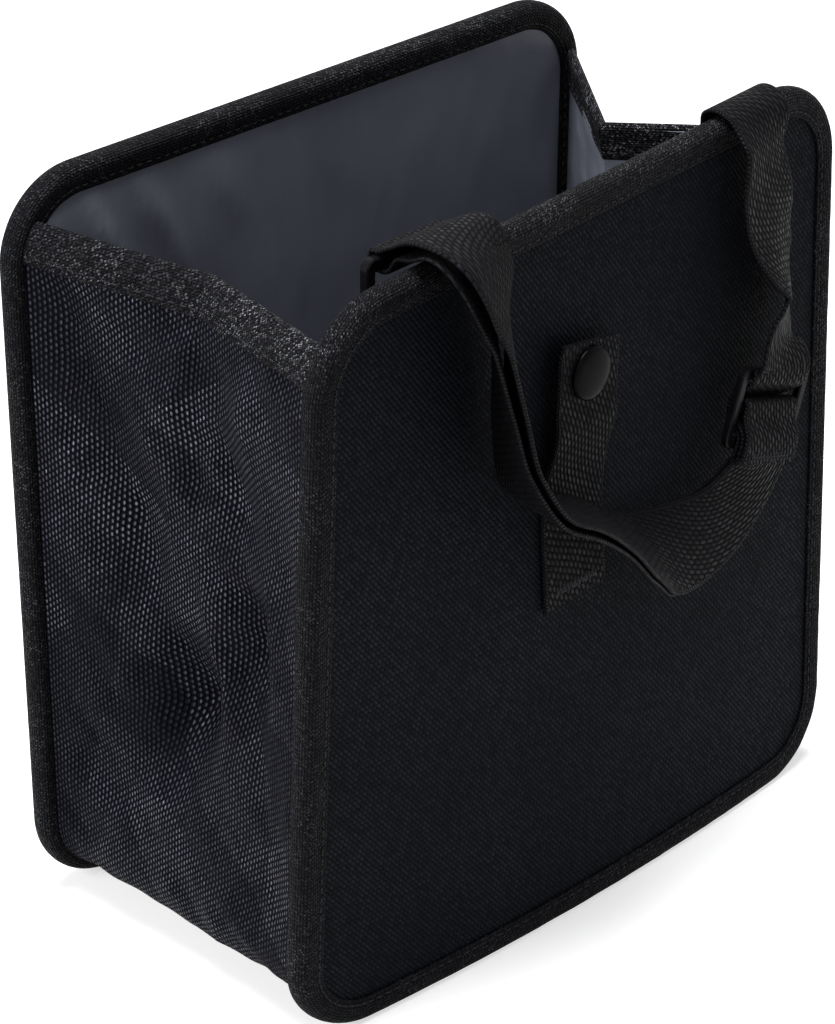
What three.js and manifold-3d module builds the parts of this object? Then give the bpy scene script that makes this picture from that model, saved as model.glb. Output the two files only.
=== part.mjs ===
// A collapsible hanging bag for a car: two stiff upright panels joined by one soft gusset strip that
// runs down the left side, under the bag and up the right side, with a doubled webbing strap in front.
// Millimetres, +Z up. The front panel faces -Y and the bag stands on the bound lower edges of its panels.
import * as THREE from 'three';
import { mergeVertices } from 'three/addons/utils/BufferGeometryUtils.js';
import Module from 'manifold-3d';

const wasm = await Module();
wasm.setup();

// Driving sizes of the two panels
const PANEL_WIDTH = 213;
const PANEL_HEIGHT = 220;
const CORNER_RADIUS = 24.5;
const PANEL_SPACING = 102; // between the panels' middle planes, at the middle of the bag
const REAR_TURN = -2.2 * Math.PI / 180; // the rear panel stands a little askew, nearer on the right
const FRONT_BOW = 6.4; // the middle of the front panel's lower edge stands out this far
const FRONT_TWIST = 5.5; // its upper left and lower right corners stand out, the others in

// The layers of a panel, from outside in
const COVER_THICKNESS = 0.8;
const BOARD_THICKNESS = 2.8;
const LINING_THICKNESS = 0.6;
const LAYER_GAP = 0.1;
const BINDING_GAP = 0.3; // between the layers' faces and the binding

// The woven binding round each panel
const BINDING_TAPE = 1.2;
const BINDING_WIDTH = 8;
const BINDING_ROUND = 2.2; // rounding of its two outer edges
const EDGE_GAP = 0.3; // between a panel's cut edge and the inside of its binding

// The gusset strip and the bindings of its two upper ends
const SEAM_INSET = 4; // the strip runs this far inside the panels' outline
const LEFT_TOP = PANEL_HEIGHT - 12; // height of its left upper end
const RIGHT_TOP = PANEL_HEIGHT - 19;
const GUSSET_CLOTH = 0.8;
const GUSSET_LINING = 0.5;
const GUSSET_GAP = 0.3; // to the bindings, to the lining and to the end bindings
const END_BINDING_HEIGHT = 10.5;
const END_BINDING_TAPE = 0.9;
const RIGHT_FOLD_DEPTH = 36; // how far the right side folds into the bag at its top
const LEFT_FOLD_DEPTH = 13;
const FOLD_FOOT = 12; // height at which the folds of the sides have run out
const LEFT_DIP = 0.2; // the left side sinks by this share of how far it is folded in

// Webbing
const WEB_WIDTH = 25;
const WEB_THICKNESS = 1.2;
const WEB_GAP = 0.35; // between two turns of webbing, and to the bars they run round

// The tri-glide slider on the strap, with its middle bar in the strap's sewn end
const SLIDER_WIDTH = 32;
const SLIDER_THICKNESS = 2.4;
const SLIDER_MIDDLE_BAR = 2.4;
const SLIDER_END_BAR = 3.2;
const SLIDER_CORNER = 3.5;
const SLIDER_X = 61.9;
const SLIDER_Z = PANEL_HEIGHT - 82.9;
const SLIDER_STAND_OFF = 9; // its middle plane in front of the front binding's face
const SLIDER_LEAN = 19 * Math.PI / 180; // the strap's run there, from upright

// The ring behind the front panel's upper edge, and the webbing loop that keeps it
const RING_WIDTH = 34;
const RING_HEIGHT = 17;
const RING_BAR = 3;
const RING_X = -56.5;
const RING_TOP_BAR_Z = PANEL_HEIGHT - 2;
const RING_STAND_OFF = 8.5; // its middle plane behind the front binding's inner face
const KEEPER_LENGTH = 26; // sewn stretch below the ring
const ANCHOR_X = 66; // where the strap's plain end comes over the front panel
const ANCHOR_LENGTH = 26;

// The tab with its press stud, in the middle of the front panel
const TAB_WIDTH = 24.5;
const TAB_TOP = PANEL_HEIGHT - 39;
const TAB_BOTTOM = PANEL_HEIGHT - 116;
const STUD_X = -8.7;
const STUD_Z = PANEL_HEIGHT - 48;
const CAP_RADIUS = 7.5;
const CAP_RISE = 1.7;
const CAP_RIM = 0.5;
const SOCKET_RADIUS = 6;
const SOCKET_PLATE = 0.7;
const SOCKET_DEPTH = 1.5;
const FLANGE_RADIUS = 5.5;
const FLANGE_THICKNESS = 0.8;
const KNOB_RADIUS = 2.6;
const KNOB_HEIGHT = 1.5;
const STEM_RADIUS = 1.5;
const STUD_CLEARANCE = 0.3;
const ON_COVER = 0.3; // between the cover and what is fixed on it

// Steps that round stretches are drawn with
const CORNER_STEPS = 6;
const EDGE_STEPS = 8;
const ROUND_STEPS = 3;
const DISC_STEPS = 24;
const GUSSET_ACROSS = 10;
const PANEL_COLUMNS = 8;

// Sizes that follow from those above
const BODY_THICKNESS = COVER_THICKNESS + BOARD_THICKNESS + LINING_THICKNESS + 2 * LAYER_GAP;
const PANEL_THICKNESS = BODY_THICKNESS + 2 * (BINDING_TAPE + BINDING_GAP);
const FRONT_FACE = -(PANEL_SPACING + PANEL_THICKNESS) / 2; // Y of the front binding's face
const FRONT_INNER = FRONT_FACE + PANEL_THICKNESS;
const COVER_FACE = -(PANEL_SPACING + BODY_THICKNESS) / 2;
const LINING_FACE = COVER_FACE + BODY_THICKNESS;
const WEB_STEP = WEB_THICKNESS + WEB_GAP;
const WEB_CLEAR = WEB_THICKNESS / 2 + WEB_GAP; // from a bar's face to the middle of webbing on it

const black = (color, roughness) => new THREE.MeshStandardMaterial({ color, roughness, metalness: 0 });
const materials = {
  cover: black(0x11141b, 0.85),
  board: black(0x2a2c30, 0.6),
  lining: black(0x323a44, 0.38),
  binding: black(0x15161a, 0.9),
  gusset: black(0x14161f, 0.7),
  webbing: black(0x131418, 0.85),
  plastic: black(0x101114, 0.35),
  snap: black(0x0b0b0d, 0.15),
};

const group = new THREE.Group();

function addPiece(name, geometry, material, parent = group) {
  const mesh = new THREE.Mesh(geometry, material);
  mesh.name = name;
  parent.add(mesh);
}

// Booleans
function toSolid(geometry) {
  const bare = geometry.index ? geometry.toNonIndexed() : geometry.clone();
  for (const name of Object.keys(bare.attributes)) {
    if (name !== 'position') bare.deleteAttribute(name);
  }
  const merged = mergeVertices(bare, 1e-4);
  return new wasm.Manifold(new wasm.Mesh({
    numProp: 3,
    vertProperties: merged.attributes.position.array,
    triVerts: new Uint32Array(merged.index.array),
  }));
}

function toGeometry(solid) {
  const mesh = solid.getMesh();
  const geometry = new THREE.BufferGeometry();
  const places = new Float32Array(mesh.numVert * 3);
  for (let i = 0; i < mesh.numVert; i++) {
    places.set(mesh.vertProperties.subarray(i * mesh.numProp, i * mesh.numProp + 3), i * 3);
  }
  geometry.setAttribute('position', new THREE.BufferAttribute(places, 3));
  geometry.setIndex(new THREE.BufferAttribute(mesh.triVerts, 1));
  geometry.computeVertexNormals();
  return geometry;
}

// A closed skin over rows of points: rings[i][k], each ring closed on itself. With a section, the flat
// shape of a ring as [x, y] pairs, both ends are capped by it; without one the last ring joins the
// first. From place turnedFrom of a ring on, the squares are halved the other way.
function skin(rings, section, turnedFrom = Infinity) {
  const count = rings[0].length;
  const places = rings.flat().flatMap((p) => [p.x, p.y, p.z]);
  const index = [];
  const last = section ? rings.length - 1 : rings.length;
  for (let i = 0; i < last; i++) {
    const next = (i + 1) % rings.length;
    for (let k = 0; k < count; k++) {
      const side = (k + 1) % count;
      const a = i * count + k;
      const b = i * count + side;
      const c = next * count + side;
      const d = next * count + k;
      if (k < turnedFrom) index.push(a, b, c, a, c, d);
      else index.push(a, b, d, b, c, d);
    }
  }
  if (section) {
    const end = last * count;
    for (const [a, b, c] of capTriangles(section)) {
      index.push(a, c, b, end + a, end + b, end + c);
    }
  }
  const geometry = new THREE.BufferGeometry();
  geometry.setAttribute('position', new THREE.Float32BufferAttribute(places, 3));
  geometry.setIndex(index);
  geometry.computeVertexNormals();
  return geometry;
}

// The triangles of a flat outline, each running the same way round as the outline
function capTriangles(section) {
  const contour = section.map((p) => new THREE.Vector2(...p));
  const way = Math.sign(THREE.ShapeUtils.area(contour));
  return THREE.ShapeUtils.triangulateShape(contour, []).map(([a, b, c]) => {
    const same = Math.sign(THREE.ShapeUtils.area([contour[a], contour[b], contour[c]])) === way;
    return same ? [a, b, c] : [a, c, b];
  });
}

// Panels
// How far a point of the front panel stands out from its flat middle plane
function standOut(x, z) {
  const across = 2 * x / PANEL_WIDTH;
  const up = z / PANEL_HEIGHT;
  return FRONT_BOW * (1 - across ** 2) * (1 - up) - FRONT_TWIST * across * (2 * up - 1);
}

function bowed(geometry) {
  const places = geometry.getAttribute('position');
  for (let i = 0; i < places.count; i++) {
    places.setY(i, places.getY(i) - standOut(places.getX(i), places.getZ(i)));
  }
  geometry.computeVertexNormals();
  return geometry;
}

// A panel's outline, drawn in by inset, anticlockwise from the lower left corner, with its straight
// edges in so many steps. Every inset gives the same number of points.
function outline(inset, steps) {
  const radius = CORNER_RADIUS - inset;
  const right = PANEL_WIDTH / 2 - CORNER_RADIUS;
  const top = PANEL_HEIGHT - CORNER_RADIUS;
  const points = [];
  const corner = (x, z, start) => {
    for (let i = 0; i <= CORNER_STEPS; i++) {
      const angle = start + i / CORNER_STEPS * Math.PI / 2;
      points.push(new THREE.Vector2(x + radius * Math.cos(angle), z + radius * Math.sin(angle)));
    }
  };
  const edge = (fromX, fromZ, toX, toZ) => {
    const from = new THREE.Vector2(fromX, fromZ);
    const to = new THREE.Vector2(toX, toZ);
    for (let i = 1; i < steps; i++) points.push(from.clone().lerp(to, i / steps));
  };
  const side = PANEL_WIDTH / 2 - inset;
  corner(-right, CORNER_RADIUS, Math.PI);
  edge(-right, inset, right, inset);
  corner(right, CORNER_RADIUS, 1.5 * Math.PI);
  edge(side, CORNER_RADIUS, side, top);
  corner(right, top, 0);
  edge(right, PANEL_HEIGHT - inset, -right, PANEL_HEIGHT - inset);
  corner(-right, top, Math.PI / 2);
  edge(-side, top, -side, CORNER_RADIUS);
  return points;
}

// A layer whose outer face is at outer (Y, in the panel's own frame) and which lies behind it. Its
// faces are drawn in rows from the lower edge up, each divided into columns; between the corners
// there are as many rows as steps.
function layer(thickness, outer, columns, steps) {
  const radius = CORNER_RADIUS - BINDING_TAPE - BINDING_GAP - EDGE_GAP;
  const rows = [];
  const corner = (z, start) => {
    for (let i = 0; i <= CORNER_STEPS; i++) {
      const angle = start + i / CORNER_STEPS * Math.PI / 2;
      rows.push({
        z: z + radius * Math.sin(angle),
        reach: PANEL_WIDTH / 2 - CORNER_RADIUS + radius * Math.cos(angle),
      });
    }
  };
  corner(CORNER_RADIUS, -Math.PI / 2);
  for (let i = 1; i < steps; i++) {
    rows.push({
      z: CORNER_RADIUS + i / steps * (PANEL_HEIGHT - 2 * CORNER_RADIUS),
      reach: PANEL_WIDTH / 2 - CORNER_RADIUS + radius,
    });
  }
  corner(PANEL_HEIGHT - CORNER_RADIUS, 0);
  const section = [];
  for (let j = 0; j <= columns; j++) section.push([2 * j / columns - 1, outer]);
  for (let j = columns; j >= 0; j--) section.push([2 * j / columns - 1, outer + thickness]);
  return skin(
    rows.map(({ z, reach }) => section.map(([share, y]) => new THREE.Vector3(share * reach, y, z))),
    section,
    columns + 1,
  );
}

// The binding's section: d is measured in from the panel's edge, y through the panel.
function bindingSection() {
  const half = PANEL_THICKNESS / 2;
  const inner = half - BINDING_TAPE;
  const points = [[BINDING_WIDTH, -half]];
  for (const side of [-1, 1]) {
    for (let i = 0; i <= ROUND_STEPS; i++) {
      const angle = (side < 0 ? i : ROUND_STEPS - i) / ROUND_STEPS * Math.PI / 2;
      points.push([
        BINDING_ROUND * (1 - Math.sin(angle)),
        side * (half - BINDING_ROUND * (1 - Math.cos(angle))),
      ]);
    }
  }
  points.push([BINDING_WIDTH, half], [BINDING_WIDTH, inner]);
  points.push([BINDING_TAPE, inner], [BINDING_TAPE, -inner], [BINDING_WIDTH, -inner]);
  return points;
}

function binding(steps) {
  const loops = bindingSection().map(([d, y]) => (
    outline(d, steps).map((p) => new THREE.Vector3(p.x, y, p.y))
  ));
  const rings = loops[0].map((_, i) => loops.map((loop) => loop[i]));
  return skin(rings);
}

function addPanel(side, holder, layers) {
  for (const [name, geometry, material] of layers) {
    addPiece(side + '_' + name, geometry, material, holder);
  }
}

// Layers of a panel whose outside faces -Y
const half = BODY_THICKNESS / 2;
const boardOuter = -half + COVER_THICKNESS + LAYER_GAP;
const liningOuter = boardOuter + BOARD_THICKNESS + LAYER_GAP;

// The press stud's own frame on the bowed cover, its Z pointing out of the bag
const studSlopeX = standOut(STUD_X + 0.5, STUD_Z) - standOut(STUD_X - 0.5, STUD_Z);
const studSlopeZ = standOut(STUD_X, STUD_Z + 0.5) - standOut(STUD_X, STUD_Z - 0.5);
const studAcross = new THREE.Vector3(1, -studSlopeX, 0).normalize();
const studOut = new THREE.Vector3(-studSlopeX, -1, -studSlopeZ).normalize();
const studFrame = new THREE.Matrix4()
  .makeBasis(studAcross, new THREE.Vector3().crossVectors(studOut, studAcross), studOut)
  .setPosition(STUD_X, COVER_FACE - standOut(STUD_X, STUD_Z), STUD_Z);

// A round hole about the stud's axis, from one height in front of the cover to another
function roundHole(radius, from, to) {
  const geometry = new THREE.CylinderGeometry(radius, radius, to - from, DISC_STEPS);
  geometry.translate(0, (from + to) / 2, 0);
  geometry.rotateX(Math.PI / 2);
  geometry.applyMatrix4(studFrame);
  return toSolid(geometry);
}

const front = new THREE.Group();
front.position.y = -PANEL_SPACING / 2;
group.add(front);
const inFront = (geometry) => toSolid(bowed(geometry).translate(0, front.position.y, 0));
const flat = (solid) => toGeometry(solid).translate(0, -front.position.y, 0);
const postHole = roundHole(STEM_RADIUS + STUD_CLEARANCE, -PANEL_THICKNESS, PANEL_THICKNESS);
const boardBack = -(COVER_THICKNESS + LAYER_GAP + BOARD_THICKNESS);
const postPocket = roundHole(
  FLANGE_RADIUS + STUD_CLEARANCE,
  boardBack - PANEL_THICKNESS,
  boardBack + FLANGE_THICKNESS + 2 * STUD_CLEARANCE,
);
const frontCover = inFront(layer(COVER_THICKNESS, -half, PANEL_COLUMNS, EDGE_STEPS)).subtract(postHole);
const frontBoard = inFront(layer(BOARD_THICKNESS, boardOuter, PANEL_COLUMNS, EDGE_STEPS))
  .subtract(postHole)
  .subtract(postPocket);
addPanel('front', front, [
  ['cover', flat(frontCover), materials.cover],
  ['board', flat(frontBoard), materials.board],
  ['lining', bowed(layer(LINING_THICKNESS, liningOuter, PANEL_COLUMNS, EDGE_STEPS)), materials.lining],
  ['binding', bowed(binding(EDGE_STEPS)), materials.binding],
]);

const rear = new THREE.Group();
rear.position.y = PANEL_SPACING / 2;
rear.rotation.z = REAR_TURN;
group.add(rear);
addPanel('rear', rear, [
  ['cover', layer(COVER_THICKNESS, half - COVER_THICKNESS, 1, 1), materials.cover],
  ['board', layer(BOARD_THICKNESS, -boardOuter - BOARD_THICKNESS, 1, 1), materials.board],
  ['lining', layer(LINING_THICKNESS, -liningOuter - LINING_THICKNESS, 1, 1), materials.lining],
  ['binding', binding(1), materials.binding],
]);

// Gusset
// The strip's run, measured from its left upper end. Beyond either end it follows the same corner.
const SEAM_RADIUS = CORNER_RADIUS - SEAM_INSET;
const cornerRun = (top) => SEAM_RADIUS * Math.asin((top - (PANEL_HEIGHT - CORNER_RADIUS)) / SEAM_RADIUS);
const CORNER_LENGTH = cornerRun(LEFT_TOP);
const RIGHT_CORNER_LENGTH = cornerRun(RIGHT_TOP);
const SIDE_LENGTH = PANEL_HEIGHT - 2 * CORNER_RADIUS;
const BEND_LENGTH = SEAM_RADIUS * Math.PI / 2;
const MIDDLE = CORNER_LENGTH + SIDE_LENGTH + BEND_LENGTH + PANEL_WIDTH / 2 - CORNER_RADIUS;

// The point at distance run along the strip, and the way into the bag there
function seam(run) {
  if (run > MIDDLE) {
    const mirrored = seam(2 * MIDDLE - run);
    return { x: -mirrored.x, z: mirrored.z, inX: -mirrored.inX, inZ: mirrored.inZ };
  }
  const left = -(PANEL_WIDTH / 2 - CORNER_RADIUS);
  const round = (z, angle) => ({
    x: left - SEAM_RADIUS * Math.cos(angle),
    z: z + SEAM_RADIUS * Math.sin(angle),
    inX: Math.cos(angle),
    inZ: -Math.sin(angle),
  });
  const down = run - CORNER_LENGTH;
  if (down < 0) return round(PANEL_HEIGHT - CORNER_RADIUS, -down / SEAM_RADIUS);
  if (down < SIDE_LENGTH) {
    return { x: left - SEAM_RADIUS, z: PANEL_HEIGHT - CORNER_RADIUS - down, inX: 1, inZ: 0 };
  }
  const bend = down - SIDE_LENGTH;
  if (bend < BEND_LENGTH) return round(CORNER_RADIUS, -bend / SEAM_RADIUS);
  return { x: left + bend - BEND_LENGTH, z: SEAM_INSET, inX: 0, inZ: 1 };
}

// Creases pressed into the sides by folding, beside the main fold: from and to are [share of the way
// from the front panel to the rear one, height as a share of the panel's], depth is into the bag.
const LEFT_CREASES = [
  { from: [0.94, 0.91], to: [0.72, 0.6], depth: 4, reach: 0.13 },
  { from: [0.72, 0.6], to: [0.53, 0.355], depth: 5.5, reach: 0.16 },
  { from: [0.53, 0.355], to: [0.95, 0.07], depth: 5, reach: 0.14 },
  { from: [0.53, 0.355], to: [0.265, 0.48], depth: 4, reach: 0.12 },
  { from: [0.53, 0.355], to: [0.17, 0.12], depth: 3, reach: 0.12 },
  { from: [0.52, 0.825], to: [0.775, 0.595], depth: -3, reach: 0.1 },
  { from: [0.09, 0.915], to: [0.415, 0.765], depth: -3, reach: 0.12 },
  { from: [0.415, 0.765], to: [0.28, 0.5], depth: 5, reach: 0.14 },
  { from: [0.28, 0.5], to: [0.09, 0.12], depth: 4.5, reach: 0.13 },
  { from: [0.355, 0.705], to: [0.09, 0.625], depth: 3, reach: 0.1 },
];
const RIGHT_CREASES = [
  { from: [0.5, 0.4], to: [0.95, 0.08], depth: 5, reach: 0.16 },
  { from: [0.5, 0.4], to: [0.05, 0.08], depth: 5, reach: 0.16 },
  { from: [0.5, 0.7], to: [0.85, 0.45], depth: -3, reach: 0.12 },
  { from: [0.5, 0.7], to: [0.15, 0.45], depth: -3, reach: 0.12 },
];

// A crease is a straight valley or ridge that runs out at its ends.
function creaseDepth(crease, across, height) {
  const alongX = crease.to[0] - crease.from[0];
  const alongY = crease.to[1] - crease.from[1];
  const share = ((across - crease.from[0]) * alongX + (height - crease.from[1]) * alongY)
    / (alongX ** 2 + alongY ** 2);
  const held = Math.min(1, Math.max(0, share));
  const away = Math.hypot(across - crease.from[0] - held * alongX, height - crease.from[1] - held * alongY);
  return crease.depth * Math.max(0, 1 - away / crease.reach);
}

// How far the strip stands into the bag, zero where it is sewn to the panels
function foldDepth(run, across) {
  const onLeft = run < MIDDLE;
  const height = seam(run).z;
  const top = onLeft ? LEFT_TOP : RIGHT_TOP;
  const rise = Math.min(1, Math.max(0, (height - FOLD_FOOT) / (top - FOLD_FOOT)));
  const main = (onLeft ? LEFT_FOLD_DEPTH : RIGHT_FOLD_DEPTH) * (1 - Math.abs(2 * across - 1));
  const creases = onLeft ? LEFT_CREASES : RIGHT_CREASES;
  const pressed = creases.reduce((sum, c) => sum + creaseDepth(c, across, height / PANEL_HEIGHT), 0);
  const heldAtSeam = Math.min(1, 12 * across * (1 - across));
  const heldAtTop = Math.min(1, Math.max(0, (top - END_BINDING_HEIGHT - height) / 12));
  return main * rise ** 0.7 + pressed * heldAtSeam * heldAtTop * Math.min(1, 3 * rise);
}

// A point of the strip, depth deeper into the bag than its outer face
function gussetPoint(run, across, depth) {
  const at = seam(run);
  const fold = foldDepth(run, across);
  const x = at.x + at.inX * depth - Math.sign(at.x) * fold;
  const dip = run < MIDDLE ? LEFT_DIP * fold * at.z / LEFT_TOP : 0;
  const z = at.z + at.inZ * depth - dip;
  const fromY = FRONT_INNER + GUSSET_GAP - standOut(at.x + at.inX * depth, at.z + at.inZ * depth);
  const toY = PANEL_SPACING / 2 + at.x * Math.sin(REAR_TURN)
    - (PANEL_THICKNESS / 2 + GUSSET_GAP) / Math.cos(REAR_TURN);
  return new THREE.Vector3(x, fromY + (toY - fromY) * across, z);
}

// Rows of the strip: close together on the creased sides, further apart under the bag
function stripRows() {
  const rows = [];
  const stretch = (length, count) => {
    const start = rows.length ? rows[rows.length - 1] : 0;
    for (let i = rows.length ? 1 : 0; i <= count; i++) rows.push(start + length * i / count);
  };
  stretch(CORNER_LENGTH, 3);
  stretch(SIDE_LENGTH, 24);
  stretch(BEND_LENGTH, 5);
  stretch(PANEL_WIDTH - 2 * CORNER_RADIUS, EDGE_STEPS);
  stretch(BEND_LENGTH, 5);
  stretch(SIDE_LENGTH, 18);
  stretch(RIGHT_CORNER_LENGTH, 1);
  return rows;
}

function strip(outer, thickness) {
  const section = [];
  for (let j = 0; j <= GUSSET_ACROSS; j++) section.push([j / GUSSET_ACROSS, outer]);
  for (let j = GUSSET_ACROSS; j >= 0; j--) section.push([j / GUSSET_ACROSS, outer + thickness]);
  const rings = stripRows().map((run) => section.map(([across, depth]) => gussetPoint(run, across, depth)));
  return skin(rings, section, GUSSET_ACROSS + 1);
}

addPiece('gusset_fabric', strip(0, GUSSET_CLOTH), materials.gusset);
const liningDepth = GUSSET_CLOTH + GUSSET_GAP;
addPiece('gusset_lining', strip(liningDepth, GUSSET_LINING), materials.lining);

// The binding over an upper end of the strip: a channel, its section given in depth and in distance
// below the cloth's end
function endBinding(onLeft) {
  const outside = -GUSSET_GAP;
  const inside = liningDepth + GUSSET_LINING + GUSSET_GAP;
  const rows = stripRows();
  const end = onLeft ? 0 : rows[rows.length - 1];
  const down = rows.map((run) => Math.abs(run - end)).filter((below) => below < END_BINDING_HEIGHT);
  down.sort((a, b) => a - b);
  down[0] = -GUSSET_GAP;
  down.push(END_BINDING_HEIGHT);
  const up = [...down].reverse();
  const section = [
    ...up.map((below) => [outside - END_BINDING_TAPE, below]),
    [outside, -GUSSET_GAP - END_BINDING_TAPE],
    [inside, -GUSSET_GAP - END_BINDING_TAPE],
    ...down.map((below) => [inside + END_BINDING_TAPE, below]),
    ...up.map((below) => [inside, below]),
    ...down.map((below) => [outside, below]),
  ];
  if (!onLeft) section.reverse();
  const rings = [];
  for (let j = 0; j <= GUSSET_ACROSS; j++) {
    rings.push(section.map(([depth, below]) => (
      gussetPoint(onLeft ? below : end - below, j / GUSSET_ACROSS, depth)
    )));
  }
  return skin(rings, section);
}

addPiece('left_gusset_binding', endBinding(true), materials.binding);
addPiece('right_gusset_binding', endBinding(false), materials.binding);

// Webbing
// A flat ribbon along keys of { at, across }: at is its middle, across the way from edge to edge.
function ribbon(keys, width, longestStep) {
  const line = new THREE.CatmullRomCurve3(keys.map((key) => key.at), false, 'centripetal');
  const edges = new THREE.CatmullRomCurve3(keys.map((key) => key.across), false, 'centripetal');
  const rings = [];
  const spans = keys.length - 1;
  for (let i = 0; i <= spans; i++) {
    const steps = i < spans ? Math.ceil(keys[i].at.distanceTo(keys[i + 1].at) / longestStep) : 1;
    for (let k = 0; k < steps; k++) {
      const place = Math.min(1, (i + k / steps) / spans);
      const along = line.getTangent(place);
      const across = edges.getPoint(place);
      across.addScaledVector(along, -across.dot(along)).normalize();
      const face = new THREE.Vector3().crossVectors(along, across);
      const middle = line.getPoint(place);
      const corner = (a, b) => middle.clone()
        .addScaledVector(across, a * width / 2)
        .addScaledVector(face, b * WEB_THICKNESS / 2);
      rings.push([corner(-1, -1), corner(1, -1), corner(1, 1), corner(-1, 1)]);
    }
  }
  return skin(rings, [[-1, -1], [1, -1], [1, 1], [-1, 1]]);
}

const key = (x, y, z, across) => ({
  at: new THREE.Vector3(x, y, z),
  across: new THREE.Vector3(...across),
});

// The way across the front panel's surface, level, and a key that lies out from the binding's face
const acrossFront = (x, z) => [2, standOut(x - 1, z) - standOut(x + 1, z), 0];
const frontKey = (x, out, z, across = acrossFront(x, z)) => key(x, FRONT_FACE - standOut(x, z) - out, z, across);

// The slider's own frame: down along the strap's run, out towards the viewer
const sliderY = FRONT_FACE - standOut(SLIDER_X, SLIDER_Z) - SLIDER_STAND_OFF;
const sliderAcross = [-Math.cos(SLIDER_LEAN), 0, Math.sin(SLIDER_LEAN)];
const atSlider = (down, out, across = sliderAcross) => key(
  SLIDER_X - down * Math.sin(SLIDER_LEAN),
  sliderY - out,
  SLIDER_Z - down * Math.cos(SLIDER_LEAN),
  across,
);
const slant = Math.SQRT2 * WEB_CLEAR;
const loopCrossing = (SLIDER_MIDDLE_BAR + SLIDER_THICKNESS) / 2 + slant;
const runCrossing = loopCrossing + Math.SQRT2 * WEB_STEP;
const windowEnd = runCrossing + SLIDER_THICKNESS / 2 + slant;
const onBar = SLIDER_THICKNESS / 2 + WEB_CLEAR;
const endBar = windowEnd + SLIDER_END_BAR / 2;
const wrapCorner = (SLIDER_MIDDLE_BAR / 2 + WEB_CLEAR / Math.SQRT2);

// The strap's plain end: sewn inside, over the front panel, down and turned edge on and back
const sewnInside = -PANEL_THICKNESS - WEB_CLEAR;
const plainEnd = [
  frontKey(ANCHOR_X, sewnInside, PANEL_HEIGHT - BINDING_WIDTH / 2 - ANCHOR_LENGTH),
  frontKey(ANCHOR_X, sewnInside, PANEL_HEIGHT - BINDING_WIDTH / 2),
  frontKey(ANCHOR_X, sewnInside + 0.4, PANEL_HEIGHT + 0.6),
  frontKey(ANCHOR_X, -PANEL_THICKNESS / 2, PANEL_HEIGHT + 2.4),
  frontKey(ANCHOR_X, 1.4, PANEL_HEIGHT + 0.6),
  frontKey(64.7, 5.4, PANEL_HEIGHT - 9.5, [0.94, 0.27, -0.2]),
  frontKey(64.5, 6.6, PANEL_HEIGHT - 21.4, [0.98, 0.13, -0.17]),
  frontKey(66.9, 6.8, PANEL_HEIGHT - 32.2, [0.96, 0.18, -0.23]),
  frontKey(70.9, 7.8, PANEL_HEIGHT - 43.5, [0.88, 0.39, -0.25]),
  frontKey(72.2, 9, PANEL_HEIGHT - 51, [0.76, 0.6, -0.25]),
  frontKey(69.6, 9.9, PANEL_HEIGHT - 57.6, [0.82, 0.5, -0.28]),
  frontKey(66.6, 10.8, PANEL_HEIGHT - 63.8, [0.89, 0.3, -0.31]),
];
for (const here of plainEnd) here.across.negate(); // the slider's own way across runs to the left

// Through the slider: over its upper bar, behind the middle one and over the lower one
const runThrough = [
  atSlider(-endBar - 2.4, onBar + 0.2),
  atSlider(-endBar, onBar),
  atSlider(-runCrossing - onBar, onBar - 0.15),
  atSlider(-runCrossing + 1, -1),
  atSlider(-runCrossing + 2.7, -onBar - 0.75),
  atSlider(-1.5, -onBar - WEB_STEP + 0.05),
  atSlider(1.2, -onBar - WEB_STEP + 0.05),
  atSlider(runCrossing - onBar - WEB_STEP + 0.5, -onBar - WEB_STEP + 0.55),
  atSlider(runCrossing - 1, -1),
  atSlider(runCrossing + onBar, onBar - 0.15),
  atSlider(endBar, onBar),
  atSlider(endBar + 8, onBar - 1.2),
];

// The sewn end: behind the middle bar, round it and back down in front of itself
const sewnEnd = [
  atSlider(endBar + 8, onBar - 1.2 + WEB_STEP),
  atSlider(endBar, onBar + WEB_STEP),
  atSlider(loopCrossing + onBar + WEB_STEP - 0.35, onBar + WEB_STEP - 0.5),
  atSlider(loopCrossing, 0),
  atSlider(loopCrossing - onBar + 0.1, -onBar + 0.1),
  atSlider(0, -onBar),
  atSlider(-wrapCorner, -wrapCorner),
  atSlider(-SLIDER_MIDDLE_BAR / 2 - WEB_CLEAR - 0.45, 0),
  atSlider(-wrapCorner, wrapCorner),
  atSlider(0, onBar),
  atSlider(2.2, onBar + 0.2),
  atSlider(4.4, onBar + 1.15),
  atSlider(6.5, onBar + 2.5),
  atSlider(endBar, onBar + 2 * WEB_STEP),
  atSlider(endBar + 4.5, onBar + 2 * WEB_STEP - 0.1),
];

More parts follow.
